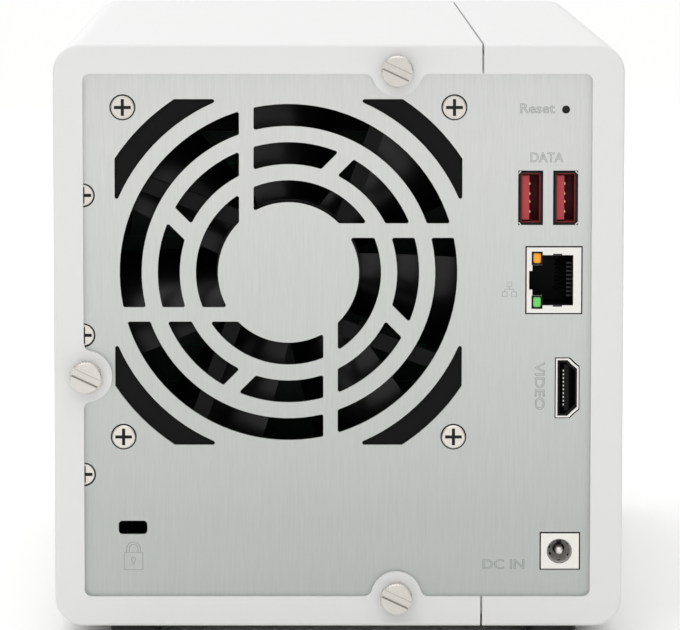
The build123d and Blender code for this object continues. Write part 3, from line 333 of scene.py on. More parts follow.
def rectangle(centre, width, height):
    """A closed rectangular path."""
    x, y = width / 2, height / 2
    return [(centre[0] + u, centre[1] + v) for u, v in ((-x, -y), (x, -y), (x, y), (-x, y), (-x, -y))]


FACING_REAR = Matrix(((-1, 0, 0, 0), (0, 0, 1, 0), (0, 1, 0, 0), (0, 0, 0, 1)))
FACING_FRONT = Matrix(((1, 0, 0, 0), (0, 0, -1, 0), (0, 1, 0, 0), (0, 0, 0, 1)))


def on_rear(x, y, z, turn=0.0):
    """Matrix that lays a flat drawing on a face that looks to the rear."""
    return Matrix.Translation((x, y, z)) @ FACING_REAR @ Matrix.Rotation(radians(turn), 4, "Z")


def on_front(x, y, z):
    """Matrix that lays a flat drawing on a face that looks to the front."""
    return Matrix.Translation((x, y, z)) @ FACING_FRONT


# Stamped line: a little duller and darker than the brushed face, so it shows only as a grey hairline.
stamped_line = grained(
    "stamped_steel_line", "#A3A7A3", (0.5, 0.65), 0.3 * MM, 0.01 * MM, Metallic=0.8
)
plate_face_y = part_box("rear_plate")[1][1]
stamp_width = 0.13 * MM
capital_height = 2.35 * MM
legends = bmesh.new()
# each word's width, the x and z of its middle, and its turn
for word, word_width, word_x, word_z, word_turn in (
    ("Reset", 8.7 * MM, -49.4 * MM, 133.9 * MM, 0),
    ("DATA", 8.2 * MM, -51.8 * MM, 121.7 * MM, 0),
    ("VIDEO", 12.0 * MM, -50.3 * MM, 64.4 * MM, -90),
    ("DC IN", 10.5 * MM, -41.4 * MM, 19.4 * MM, 0),
):
    word_place = on_rear(word_x, plate_face_y, word_z, word_turn)
    add_word(legends, word, stamp_width, capital_height, word_width, word_place)
# network sign: one box over two, joined by a bar
box_size = 1.2 * MM
box_rise = 1.25 * MM
box_edge = box_rise - box_size / 2
branch = 1.15 * MM
network_sign = [
    rectangle((0, box_rise), box_size, box_size),
    rectangle((-branch, -box_rise), box_size, box_size),
    rectangle((branch, -box_rise), box_size, box_size),
    [(0, box_edge), (0, 0)],
    [(-branch, -box_edge), (-branch, 0), (branch, 0), (branch, -box_edge)],
]
network_sign_x = -42.6 * MM
network_sign_z = 88.7 * MM
add_paths(legends, network_sign, stamp_width, on_rear(network_sign_x, plate_face_y, network_sign_z))
# padlock: body, double shackle and keyhole
padlock_width = 4.7 * MM
padlock_height = 4.3 * MM
padlock_top = padlock_height / 2
bow_rise = 3.1 * MM
padlock_sign = [rectangle((0, 0), padlock_width, padlock_height)]
for bow_radius in (1.1 * MM, 1.7 * MM):
    bow = arc((0, bow_rise), bow_radius, 0, 180)
    padlock_sign.append([(bow_radius, padlock_top)] + bow + [(-bow_radius, padlock_top)])
keyhole_rise = 0.4 * MM
keyhole_foot = -1.1 * MM
keyhole = arc((0, keyhole_rise), 0.55 * MM, -60, 240)
padlock_sign.append(keyhole + [(0, keyhole_foot), keyhole[0]])
padlock_x = 51.4 * MM
padlock_z = 20.2 * MM
add_paths(legends, padlock_sign, stamp_width, on_rear(padlock_x, plate_face_y, padlock_z))
piece("plate_legends", legends, stamped_line, "chassis")

# ------------------------------------------------------------------ chassis, cage and lock bracket
# Folded 1 mm sheet steel, zinc-plated before folding. The cage is riveted up from six sheets, and the
# lock bracket is spot-welded behind its slot.

# Zinc plate: frosty crystals a few millimetres across, each a little duller or brighter.
crystal_width = 4 * MM
zinc_sheet, tree, shader = new_material(
    "zinc_plated_sheet", Base_Color=linear("#B4B7B8"), Metallic=1.0, Roughness=0.45
)
crystal = add_node(tree, "TexVoronoi", {"Vector": object_place(tree), "Scale": 1 / crystal_width})
gloss = add_node(tree, "MapRange", {"Value": crystal.outputs["Color"], "To Min": 0.36, "To Max": 0.54})
tree.links.new(gloss.outputs["Result"], shader.inputs["Roughness"])
two_tone(zinc_sheet, crystal.outputs["Color"], "#AEB1B2", "#BCBFC0")
dress(zinc_sheet, "chassis_tray", "drive_cage", "lock_bracket", "fan_motor")

# ------------------------------------------------------------------ small screws
# Nickel-plated steel pan-heads with a cross recess: four through the fan, three along the plate's edge.
# Round each head, a thin black ring sunk in the plate is painted shade for the gap between head and plate.


def turned(shape, centre, profile, steps=40):
    """Adds a ring or disc turned about a line along Y; profile is a closed list of (radius, y)."""
    x, z = centre
    angles = [2 * pi * step / steps for step in range(steps)]
    rings = []
    for radius, y in profile:
        points = [(x + radius * cos(angle), y, z + radius * sin(angle)) for angle in angles]
        rings.append([shape.verts.new(point) for point in points])
    for ring, following in zip(rings, rings[1:] + rings[:1]):
        for step in range(steps):
            after = (step + 1) % steps
            shape.faces.new((ring[step], ring[after], following[after], following[step]))


def flat_ring(shape, centre, radii, depths, steps=40):
    """Adds a washer between two radii and two depths."""
    (inner, outer), (front, rear) = radii, depths
    turned(shape, centre, [(inner, front), (outer, front), (outer, rear), (inner, rear)], steps)


def joined(shape, first, second):
    """Adds a solid whose two ends are matching lists of points."""
    first, second = [[shape.verts.new(point) for point in end] for end in (first, second)]
    shape.faces.new(first)
    shape.faces.new(second)
    for index in range(len(first)):
        after = (index + 1) % len(first)
        shape.faces.new((first[index], first[after], second[after], second[index]))


def slab(shape, low_corner, high_corner, edge):
    """Adds a box with rounded edges between two corners."""
    size = Vector(high_corner) - Vector(low_corner)
    centre = (Vector(high_corner) + Vector(low_corner)) / 2
    stretched = Matrix.Translation(centre) @ Matrix.Diagonal((*size, 1.0))
    made = bmesh.ops.create_cube(shape, size=1.0, matrix=stretched)
    edges = list({side for corner in made["verts"] for side in corner.link_edges})
    bmesh.ops.bevel(shape, geom=edges, offset=edge, segments=2, profile=0.5, affect="EDGES")


# Bright nickel: warm, a little brighter than the plate, with a faint mottle from the plating bath.
bright_nickel = grained(
    "bright_nickel_plate", "#E6E1DA", (0.26, 0.40), 0.5 * MM, 0.004 * MM, patch=0.9 * MM, Metallic=1.0
)
dress(bright_nickel, "fan_screws", "plate_screws", "board_screws", "power_jack_pin")
# Painted shade: a black cross set in each driver recess stands for the shadow inside it.
recess_shade_black = grained("painted_recess_shade", "#070707", (0.7, 0.9), 0.2 * MM, 0.01 * MM)
# Painted shade: a dead matt black ring round each head stands for the shadow in the gap round it.
head_gap_shade_black = grained("painted_head_gap_shade", "#1A1A1B", (0.8, 0.95), 0.2 * MM, 0.02 * MM)

cross_reach = 2.05 * MM
cross_half = 0.38 * MM
cross_depths = (0.6 * MM, 0.1 * MM)
head_shade_top = plate_face_y - 0.12 * MM
head_shade_depths = (head_shade_top - 0.2 * MM, head_shade_top)
fan_hole_pitch = 82.5 * MM
fan_head_radius = 2.9 * MM
edge_head_radius = 2.75 * MM


def middle_of(node):
    """The x and z of the middle of a CAD node."""
    node_low, node_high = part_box(node)
    return (node_low[0] + node_high[0]) / 2, (node_low[2] + node_high[2]) / 2


def cross_outline(x, z):
    """The twelve corners of a driver cross about a point: one arm's corners, turned by four quarters."""
    arm = [(cross_half, cross_half), (cross_half, cross_reach), (-cross_half, cross_reach)]
    corners = []
    for _ in range(4):
        corners += arm
        arm = [(-v, u) for u, v in arm]
    return [(x + u, z + v) for u, v in corners]


fan_centre = middle_of("fan_frame")
fan_screw_places = [
    (fan_centre[0] + side * fan_hole_pitch / 2, fan_centre[1] + end * fan_hole_pitch / 2)
    for side in (-1, 1)
    for end in (-1, 1)
]
edge_low, edge_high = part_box("plate_screws")
edge_screw_x, edge_middle_z = middle_of("plate_screws")
edge_screw_places = [
    (edge_screw_x, edge_low[2] + edge_head_radius),
    (edge_screw_x, edge_middle_z),
    (edge_screw_x, edge_high[2] - edge_head_radius),
]
cross_shades = bmesh.new()
head_gap_shade_rings = bmesh.new()
for places, head_radius, shade_ring_radius, head_top in (
    (fan_screw_places, fan_head_radius, 3.25 * MM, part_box("fan_screws")[1][1]),
    (edge_screw_places, edge_head_radius, 3.0 * MM, edge_high[1]),
):
    for place in places:
        ends = [[(x, head_top - depth, z) for x, z in cross_outline(*place)] for depth in cross_depths]
        joined(cross_shades, *ends)
        flat_ring(head_gap_shade_rings, place, (head_radius, shade_ring_radius), head_shade_depths)
# the black crosses are painted shade in the driver recesses
piece("screw_cross_shade", cross_shades, recess_shade_black, "chassis")
# the black rings are painted shade in the gap round each head
piece("screw_head_gap_shade", head_gap_shade_rings, head_gap_shade_black, "chassis")

# ------------------------------------------------------------------ thumbscrews
# Turned from steel bar, nickel-plated, with a knurled edge and a wide driver slot. A nickel collar keeps
# each one captive in the cover, and turning it out lets the cover slide back.

# Turned nickel: a fine mottle from the tool and the plating bath, warmer than the plate.
turned_nickel, tree, shader = new_material(
    "turned_nickel_plate", Base_Color=linear("#DFDBD4"), Metallic=1.0, Roughness=0.34
)
mottle_width = 0.35 * MM
mottle = add_node(tree, "TexNoise", {"Vector": object_place(tree), "Scale": 1 / mottle_width, "Detail": 2.0})
press = add_node(tree, "Bump", {"Height": mottle.outputs["Fac"], "Strength": 0.3, "Distance": 0.006 * MM})
tree.links.new(press.outputs["Normal"], shader.inputs["Normal"])
two_tone(turned_nickel, mottle.outputs["Fac"], "#D6D2CB", "#E6E2DB")
# Painted shade: grey strips along the slot's walls stand for the shadow in the slot.
slot_shade_grey = grained("painted_slot_shade", "#8C8984", (0.5, 0.6), 0.3 * MM, 0.01 * MM, Metallic=0.6)
slot_half_width = 1.05 * MM
slot_half_length = 3.5 * MM
slot_depth = 0.7 * MM
slot_lean = 25.0
lower_wall = 0.272 * MM
upper_wall = 0.096 * MM
for key in ("top", "side", "bottom"):
    node = f"thumbscrew_{key}"
    dress(turned_nickel, node, f"thumbscrew_collar_{key}")
    head_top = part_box(node)[1][1]
    # painted shade strips along the slot's lower and upper walls
    walls = bmesh.new()
    for z_low, z_high in (
        (-slot_half_width, lower_wall - slot_half_width),
        (slot_half_width - upper_wall, slot_half_width),
    ):
        wall_low = (-slot_half_length, head_top - slot_depth, z_low)
        wall_high = (slot_half_length, head_top - 0.04 * MM, z_high)
        slab(walls, wall_low, wall_high, 0.02 * MM)
    bmesh.ops.transform(walls, matrix=Matrix.Rotation(radians(-slot_lean), 4, "Y"), verts=walls.verts)
    x, z = middle_of(node)
    bmesh.ops.translate(walls, vec=(x, 0, z), verts=walls.verts)
    piece(f"{node}_slot_shade_strips", walls, slot_shade_grey, node)

# ------------------------------------------------------------------ fan
# A 92 mm axial fan of black glass-filled PBT, screwed to the plate from behind. The frame is matt from
# the mould, the rotor is polished, and its motor sits on four struts.

# Matt black: the frame's corners show as nearly black behind the guard.
frame_black = grained(
    "glass_filled_pbt_matt", "#0D0D0E", (0.55, 0.7), 0.5 * MM, 0.03 * MM, Specular_IOR_Level=0.14
)
dress(frame_black, "fan_frame")
# Polished black: each blade carries one soft streak of light.
rotor_black = grained(
    "glass_filled_pbt_polished",
    "#0B0B0C",
    (0.26, 0.36),
    1.2 * MM,
    0.004 * MM,
    patch=6 * MM,
    Specular_IOR_Level=0.34,
)
dress(rotor_black, "fan_rotor")

# A foil sticker on the hub with a printed ring and bars in place of a maker's text.
foil = grained("printed_foil_sticker", "#C9CBCC", (0.3, 0.4), 0.6 * MM, 0.004 * MM, Metallic=0.8)
hub_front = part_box("fan_rotor")[0][1]
sticker_front = hub_front - 0.1 * MM
print_front = hub_front - 0.16 * MM
print_rear = hub_front - 0.08 * MM
sticker = bmesh.new()
flat_ring(sticker, fan_centre, (0.4 * MM, 15.5 * MM), (sticker_front, hub_front + 0.02 * MM))
piece("fan_hub_sticker", sticker, foil, "fan_rotor")
print_black = grained("screen_printed_black", "#202022", (0.45, 0.55), 0.3 * MM, 0.003 * MM)
marks = bmesh.new()
flat_ring(marks, fan_centre, (13.4 * MM, 14.2 * MM), (print_front, print_rear))
bar_half_height = 0.5 * MM
top_bar_rise = 4.5 * MM
bar_pitch = 3.0 * MM
for row, half_length in enumerate((7.0 * MM, 9.0 * MM, 9.0 * MM, 5.0 * MM)):
    bar_z = fan_centre[1] + top_bar_rise - row * bar_pitch
    bar_low = (fan_centre[0] - half_length, print_front, bar_z - bar_half_height)
    bar_high = (fan_centre[0] + half_length, print_rear, bar_z + bar_half_height)
    slab(marks, bar_low, bar_high, 0.02 * MM)
piece("fan_hub_print", marks, print_black, "fan_rotor")

# ------------------------------------------------------------------ mainboard and its parts
# Glass-epoxy board under green solder mask, on brass standoffs. Black epoxy chips, tinned ceramic parts and
# an extruded aluminium heat sink are soldered or clipped to it; a memory module and a storage card plug in.

# Solder mask: glossy dark green, with copper tracks showing as paler lines in straight runs.
track_pitch = 3.2 * MM
mask_green = grained("green_solder_mask", "#12482C", (0.3, 0.4), 0.8 * MM, 0.005 * MM, IOR=1.5)
tree = mask_green.node_tree
upright = add_node(tree, "Mapping", {"Vector": object_place(tree), "Rotation": (0, pi / 2, 0)})
runs = {"Vector": upright.outputs["Vector"], "Scale": 1 / track_pitch, "Mortar Size": 0.05}
tracks = add_node(tree, "TexBrick", {**runs, "Brick Width": 3.0, "Row Height": 0.5})
two_tone(mask_green, tracks.outputs["Fac"], "#103F27", "#1F6A42")
dress(mask_green, "mainboard", "backplane", "button_board", "memory_module", "storage_card")

# Epoxy: flat black chips with the matt bloom of a moulded package.
chip_epoxy = grained("moulded_chip_epoxy", "#161617", (0.55, 0.7), 0.25 * MM, 0.01 * MM)
dress(chip_epoxy, "board_chips", "button_switches")
# Extruded aluminium: pale, with the fine lines of the die along its fins.
die_line_width = 0.5 * MM
die_line_length = 40 * MM
extruded, tree, shader = new_material(
    "extruded_aluminium", Base_Color=linear("#B9BCBF"), Metallic=1.0, Roughness=0.38
)
die_scale = (1 / die_line_width, 1 / die_line_length, 1 / die_line_width)
stretch = add_node(tree, "Mapping", {"Vector": object_place(tree), "Scale": die_scale})
lines = add_node(tree, "TexNoise", {"Vector": stretch.outputs["Vector"], "Scale": 1.0, "Detail": 3.0})
gloss = add_node(tree, "MapRange", {"Value": lines.outputs["Fac"], "To Min": 0.30, "To Max": 0.48})
tree.links.new(gloss.outputs["Result"], shader.inputs["Roughness"])
dress(extruded, "heat_sink")
# Turned brass: yellow, fairly bright, only slightly tarnished.
turned_brass = grained("turned_brass", "#C9A45A", (0.28, 0.42), 0.4 * MM, 0.004 * MM, Metallic=1.0)
dress(turned_brass, "board_standoffs")
# Black nylon: satin, a shade above the epoxy.
satin_nylon = grained("moulded_black_nylon", "#121213", (0.42, 0.55), 0.3 * MM, 0.01 * MM)
dress(satin_nylon, "memory_socket", "drive_connectors", "reset_switch", "reset_button")

# Small soldered parts between the chips: ceramic capacitors and resistors with tinned ends.
ceramic = grained("fired_ceramic_tan", "#8A7351", (0.45, 0.6), 0.2 * MM, 0.006 * MM)
tinned = grained("tinned_solder", "#C9CCCE", (0.3, 0.45), 0.3 * MM, 0.01 * MM, Metallic=1.0)
board_low, board_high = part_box("mainboard")
board_face_x = board_high[0]
tall_nodes = ("heat_sink", "memory_socket", "storage_card", "network_insert")
tall_nodes += ("video_port_insert", "power_jack_body", "reset_switch")
tall_boxes = [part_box(node) for node in tall_nodes]
tall_margin = 3 * MM
passive_length = 1.6 * MM
passive_width = 0.8 * MM
passive_rise = 0.7 * MM
passive_pitch = 2.6 * MM
solder_cap = 0.3 * MM
solder_lap = 0.02 * MM
row_count = 46


def beside_tall_part(y, z):
    """Whether a point of the board is under or close to one of its tall parts."""
    return any(
        tall_low[1] - tall_margin < y < tall_high[1] + tall_margin
        and tall_low[2] - tall_margin < z < tall_high[2] + tall_margin
        for tall_low, tall_high in tall_boxes
    )


random.seed(4)
bodies = bmesh.new()
caps = bmesh.new()
for _ in range(row_count):
    row_y = random.uniform(board_low[1] + 6 * MM, board_high[1] - 26 * MM)
    row_z = random.uniform(board_low[2] + 6 * MM, board_high[2] - 10 * MM)
    for step in range(random.randint(2, 5)):
        y = row_y + step * passive_pitch
        if beside_tall_part(y, row_z):
            continue
        y0, y1 = y - passive_length / 2, y + passive_length / 2
        z0, z1 = row_z - passive_width / 2, row_z + passive_width / 2
        top_x = board_face_x + passive_rise
        slab(bodies, (board_face_x, y0 + solder_cap, z0), (top_x, y1 - solder_cap, z1), 0.06 * MM)
        for cap_y0, cap_y1 in ((y0, y0 + solder_cap), (y1 - solder_cap, y1)):
            cap_low = (board_face_x, cap_y0, z0 - solder_lap)
            cap_high = (top_x + solder_lap, cap_y1, z1 + solder_lap)
            slab(caps, cap_low, cap_high, 0.05 * MM)
piece("board_passives", bodies, ceramic, "chassis")
piece("board_passive_ends", caps, tinned, "chassis")

# ------------------------------------------------------------------ guide rails
# Natural nylon runners clipped to the cage, in which the trays slide.

# Natural nylon: milky and waxy, with light going a little way in.
glow_reach = 2 * MM
natural_nylon = grained(
    "natural_nylon",
    "#CFCFC8",
    (0.4, 0.5),
    0.5 * MM,
    0.01 * MM,
    Subsurface_Weight=0.15,
    Subsurface_Radius=(glow_reach, glow_reach, glow_reach),
)
dress(natural_nylon, "guide_rails")

# ------------------------------------------------------------------ network jack
# A nickel-plated steel shield folded round a black nylon insert, soldered to the mainboard. Eight spring
# contacts lean in from the board side, and an amber and a green lamp sit in the corners away from it.

# Shield nickel: the palest metal on the rear, nearly white under soft light; it also colours the painted
# highlights on the data ports' corners.
shield_nickel_and_highlight = grained(
    "nickel_plated_shield_and_painted_highlight", "#F2EFEA", (0.3, 0.42), 0.6 * MM, 0.004 * MM, patch=3 * MM, Metallic=0.55
)
dress(shield_nickel_and_highlight, "network_shield", "video_port_shell", "power_jack_face")
# Cavity black: matt, so that the jack's inside stays dark; it also paints the shade in the power jack's
# gaps.
insert_black_and_gap_shade = grained(
    "moulded_nylon_black_and_painted_gap_shade", "#0A0A0B", (0.5, 0.65), 0.3 * MM, 0.01 * MM, Specular_IOR_Level=0.2
)
dress(insert_black_and_gap_shade, "network_insert", "video_port_insert", "power_jack_body")

jack_face_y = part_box("network_shield")[1][1]
jack_x, jack_z = middle_of("network_shield")
plug_low_x = jack_x - 4.8 * MM
plug_half_height = 6.3 * MM
# Dull tin: the springs stay grey in the dark of the cavity.
dull_tin = grained("dull_tin_plate", "#4A4A4B", (0.5, 0.6), 0.3 * MM, 0.004 * MM, Metallic=0.8)
springs = bmesh.new()
contact_pitch = 1.02 * MM
contact_half_width = 0.16 * MM
contact_count = 8
# each spring from the side, in millimetres: away from the board's side of the cavity, and behind the face
spring_path = ((0.1, 2.4), (1.7, 10.9), (3.9, 14.2), (3.9, 14.9), (3.4, 14.9), (1.4, 11.6), (0.1, 4.4))
spring_outline = [(plug_low_x + out * MM, jack_face_y - depth * MM) for out, depth in spring_path]
for index in range(contact_count):
    z = jack_z + (index - (contact_count - 1) / 2) * contact_pitch
    flanks = [[(x, y, z + side * contact_half_width) for x, y in spring_outline] for side in (-1, 1)]
    joined(springs, *flanks)
piece("network_springs", springs, dull_tin, "chassis")

# The grooved block that the springs lie in, and the two notches where shield springs press on a plug.
tooth_half_width = 0.24 * MM
comb = bmesh.new()
for index in range(contact_count + 1):
    z = jack_z + (index - contact_count / 2) * contact_pitch
    tooth_low = (plug_low_x + 0.02 * MM, jack_face_y - 14.9 * MM, z - tooth_half_width)
    tooth_high = (plug_low_x + 1.6 * MM, jack_face_y - 3.2 * MM, z + tooth_half_width)
    slab(comb, tooth_low, tooth_high, 0.06 * MM)
notch_x = jack_x - 0.9 * MM
notch_half_width = 1.15 * MM
notch_half_height = 0.24 * MM
for side in (-1, 1):
    notch_z = jack_z + side * (plug_half_height + 0.1 * MM)
    notch_low = (notch_x - notch_half_width, jack_face_y - 0.3 * MM, notch_z - notch_half_height)
    notch_high = (notch_x + notch_half_width, jack_face_y + 0.03 * MM, notch_z + notch_half_height)
    slab(comb, notch_low, notch_high, 0.04 * MM)
piece("network_comb", comb, satin_nylon, "chassis")



def frame_bars(shape, outer, inner, depths, edge):
    """Adds four bars between two upright rectangles, each given as (low x, high x, low z, high z)."""
    left, right, foot, head = outer
    for low_x, high_x, low_z, high_z in (
        (left, inner[0], foot, head),
        (inner[1], right, foot, head),
        (inner[0], inner[1], foot, inner[2]),
        (inner[0], inner[1], inner[3], head),
    ):
        slab(shape, (low_x, depths[0], low_z), (high_x, depths[1], high_z), edge)


def grown(bounds, margin):
    """A rectangle (low x, high x, low z, high z) made larger by a margin all round."""
    return bounds[0] - margin, bounds[1] + margin, bounds[2] - margin, bounds[3] + margin


# Lamps: clear epoxy domes, one dyed amber and one green, each with a black frame round it.
lamp_low, lamp_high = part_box("network_lamps")
lamp_height = 2.8 * MM
lamp_frame = 0.28 * MM
lamp_overlap = 0.1 * MM
frames = bmesh.new()
lamps = {}
for dye, colour, glow, lamp_foot in (
    ("amber", "#E8960F", "#FFB030", lamp_high[2] - lamp_height),
    ("green", "#58BE52", "#9DF08E", lamp_low[2]),
):
    # Dyed epoxy: saturated and glossy, faintly lit from inside.
    dyed_epoxy = grained(
        f"dyed_epoxy_{dye}",
        colour,
        (0.18, 0.26),
        0.5 * MM,
        0.004 * MM,
        Emission_Color=linear(glow),
        Emission_Strength=0.18,
    )
    lamp_bounds = (lamp_low[0], lamp_high[0], lamp_foot, lamp_foot + lamp_height)
    dome = bmesh.new()
    dome_low = (lamp_low[0], jack_face_y - 2.8 * MM, lamp_foot)
    dome_high = (lamp_high[0], jack_face_y + 0.1 * MM, lamp_foot + lamp_height)
    slab(dome, dome_low, dome_high, 0.75 * MM)
    lamps[dye] = piece(f"network_lamp_{dye}", dome, dyed_epoxy, "chassis")
    frame_depths = (jack_face_y - 1.0 * MM, jack_face_y + 0.04 * MM)
    inner_bounds = grown(lamp_bounds, -lamp_overlap)
    frame_bars(frames, grown(lamp_bounds, lamp_frame), inner_bounds, frame_depths, 0.03 * MM)
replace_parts(lamps["amber"], "network_lamps")
piece("network_lamp_frames", frames, insert_black_and_gap_shade, "chassis")

# ------------------------------------------------------------------ data ports
# Stamped steel shells, blackened by their plating, round a red nylon cavity painted darker for its shade,
# with a tongue of the brighter red that carries four contacts. Two stand side by side at the rear and one is
# in the front strip.

# Black nickel: the shells show as a near-black line; small bright slabs on their corners are painted
# highlights.
black_nickel = grained("black_nickel_plate", "#141415", (0.35, 0.5), 0.4 * MM, 0.004 * MM, Metallic=0.6)
dress(black_nickel, "data_port_shells")
# Tongue red: satin nylon dyed through.
tongue_red = grained("dyed_red_nylon", "#B7393F", (0.4, 0.5), 0.4 * MM, 0.008 * MM)
dress(tongue_red, "data_port_tongues")
# Painted shade: the same red nylon as the tongue, darkened almost to brown for the shade inside the port.
shaded_cavity_red = grained("painted_shade_red_nylon", "#7A2226", (0.5, 0.65), 0.4 * MM, 0.008 * MM)
# Gold flash: tiny bright ends on the tongue's contacts.
gold_flash = grained("gold_flashed_contact", "#F3DDB0", (0.25, 0.35), 0.3 * MM, 0.003 * MM, Metallic=0.5)


def add_turned_copy(shape, part, place):
    """Adds a small bmesh to another one, put in place by a matrix, and frees it."""
    bmesh.ops.transform(part, matrix=place, verts=part.verts)
    mesh = bpy.data.meshes.new("placed_copy")
    part.to_mesh(mesh)
    part.free()
    shape.from_mesh(mesh)
    bpy.data.meshes.remove(mesh)


half_width = 2.85 * MM
half_height = 6.55 * MM
port_sheet = 0.35 * MM
lining_wall = 0.3 * MM
cavity_depth = 9.2 * MM
contact_offsets = (-3.5 * MM, -1.0 * MM, 1.0 * MM, 3.5 * MM)
tongue_side = 0.3 * MM  # tongue's contact side from the middle of the port
highlight_reach = 0.42 * MM
highlight_inset = 0.15 * MM
ports_low, ports_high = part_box("data_port_shells")
linings = bmesh.new()
contacts = bmesh.new()
painted_corner_highlights = bmesh.new()
# each port's x, z and face, which way is in, and the sides whose corners carry painted highlights
for x, z, face_y, inward, highlight_sides in (
    (-56.5 * MM, 111.6 * MM, ports_high[1], -1, (-1,)),
    (-47.8 * MM, 111.6 * MM, ports_high[1], -1, (1,)),
    (-53.5 * MM, 60.0 * MM, ports_low[1], 1, (-1, 1)),
):
    inside = grown((x - half_width, x + half_width, z - half_height, z + half_height), -port_sheet)
    lining_depths = sorted((face_y + inward * 0.5 * MM, face_y + inward * cavity_depth))
    frame_bars(linings, inside, grown(inside, -lining_wall), lining_depths, 0.05 * MM)
    floor_depths = sorted(face_y + inward * (cavity_depth + step) for step in (-0.1 * MM, 0.2 * MM))
    floor_high = (x + tongue_side - 0.35 * MM, floor_depths[1], inside[3])
    slab(linings, (inside[0], floor_depths[0], inside[2]), floor_high, 0.05 * MM)
    contact_depths = sorted(face_y + inward * depth for depth in (1.3 * MM, 9.0 * MM))
    for offset in contact_offsets:
        contact_low = (x + tongue_side - 0.26 * MM, contact_depths[0], z + offset - 0.3 * MM)
        contact_high = (x + tongue_side + 0.02 * MM, contact_depths[1], z + offset + 0.3 * MM)
        slab(contacts, contact_low, contact_high, 0.1 * MM)
    # painted highlights: small bright slabs set slanted on the shell's corners
    for side in highlight_sides:
        for end in (-1, 1):
            highlight_slab = bmesh.new()
            slab(highlight_slab, (-highlight_reach, -0.08 * MM, -0.12 * MM), (highlight_reach, 0.08 * MM, 0.12 * MM), 0.04 * MM)
            spot = (x + side * (half_width - highlight_inset), face_y, z + end * (half_height - highlight_inset))
            slope = Matrix.Rotation(radians(side * end * 45), 4, "Y")
            add_turned_copy(painted_corner_highlights, highlight_slab, Matrix.Translation(spot) @ slope)
# the linings carry the painted shade of each port's cavity
piece("data_port_linings", linings, shaded_cavity_red, "chassis")
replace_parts(piece("data_port_contacts", contacts, gold_flash, "chassis"), "port_contacts")
piece("data_port_corner_highlights", painted_corner_highlights, shield_nickel_and_highlight, "chassis")

# ------------------------------------------------------------------ port gap shade
# Thin black frames fill the gap between the plate's punched openings and the network and power jacks, as
# painted shade. They show as a crisp black line round each face.

# Painted shade: dead matt black for the shadow in the gap.
port_gap_shade_black = grained(
    "painted_port_gap_shade", "#060606", (0.9, 1.0), 0.2 * MM, 0.02 * MM, Specular_IOR_Level=0.1
)
port_shade_width = 0.34 * MM
port_shade_depths = (plate_face_y - 0.9 * MM, plate_face_y + 0.02 * MM)
# painted shade frames round the network and power jack faces
port_gap_shade_frames = bmesh.new()
for node in ("network_shield", "power_jack_face"):
    node_low, node_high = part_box(node)
    node_bounds = (node_low[0], node_high[0], node_low[2], node_high[2])
    frame_bars(port_gap_shade_frames, grown(node_bounds, port_shade_width), node_bounds, port_shade_depths, 0.02 * MM)
piece("port_gap_shade", port_gap_shade_frames, port_gap_shade_black, "chassis")

# ------------------------------------------------------------------ video port
# The same plated steel folded into a stepped outline, round a black tongue with two rows of contacts.
video_face_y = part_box("video_port_shell")[1][1]
video_x, video_z = middle_of("video_port_shell")
video_pitch = 0.95 * MM
video_count = 10
video_contact_rise = 0.28 * MM
video_contact_length = 1.2 * MM
# each row's place beside the port's middle, its depth behind the shell's rim and its contacts' half height
video_rows = ((0.78 * MM, 0.85 * MM, 0.2 * MM), (-0.42 * MM, 1.4 * MM, 0.15 * MM))
video_contacts = bmesh.new()
for index in range(video_count):
    z = video_z + (index - (video_count - 1) / 2) * video_pitch
    for offset, depth, contact_half_height in video_rows:
        x = video_x + offset
        front_y = video_face_y - depth
        contact_low = (x, front_y - video_contact_length, z - contact_half_height)
        contact_high = (x + video_contact_rise, front_y, z + contact_half_height)
        slab(video_contacts, contact_low, contact_high, 0.04 * MM)
piece("video_port_contacts", video_contacts, shield_nickel_and_highlight, "chassis")

# ------------------------------------------------------------------ power jack
# A square nickel face over a black body, with a plated barrel of six flats and a pin down its middle.
# Between the flats, where the springs are, dark slabs paint the shade in the gaps, and a grey tab of the
# earth contact stands beside the face.

# Barrel plate: mid grey, each flat catching the light differently.
barrel_plate = grained(
    "drawn_barrel_plate", "#C4C3C0", (0.35, 0.5), 0.5 * MM, 0.004 * MM, patch=2 * MM, Metallic=0.35
)
power_side_x, power_face_y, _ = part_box("power_jack_face")[1]
power_centre = middle_of("power_jack_pin")
barrel_radius = 3.12 * MM
throat_radius = 1.5 * MM
barrel_mouth = power_face_y - 0.45 * MM
barrel_foot = power_face_y - 6.0 * MM
barrel = bmesh.new()
barrel_profile = [
    (barrel_radius, barrel_mouth),
    (barrel_radius, barrel_foot),
    (throat_radius, barrel_foot),
    (throat_radius, power_face_y - 4.6 * MM),
    (2.7 * MM, power_face_y - 3.2 * MM),
    (3.0 * MM, barrel_mouth),
]
turned(barrel, power_centre, barrel_profile, steps=12)
piece("power_jack_barrel", barrel, barrel_plate, "chassis")
gap_front = power_face_y - 2.6 * MM
gap_rear = gap_front - 0.3 * MM
on_barrel = Matrix.Translation((power_centre[0], 0, power_centre[1]))
# painted shade: thin dark slabs in the gaps between the barrel's flats
power_gap_shade_slabs = bmesh.new()
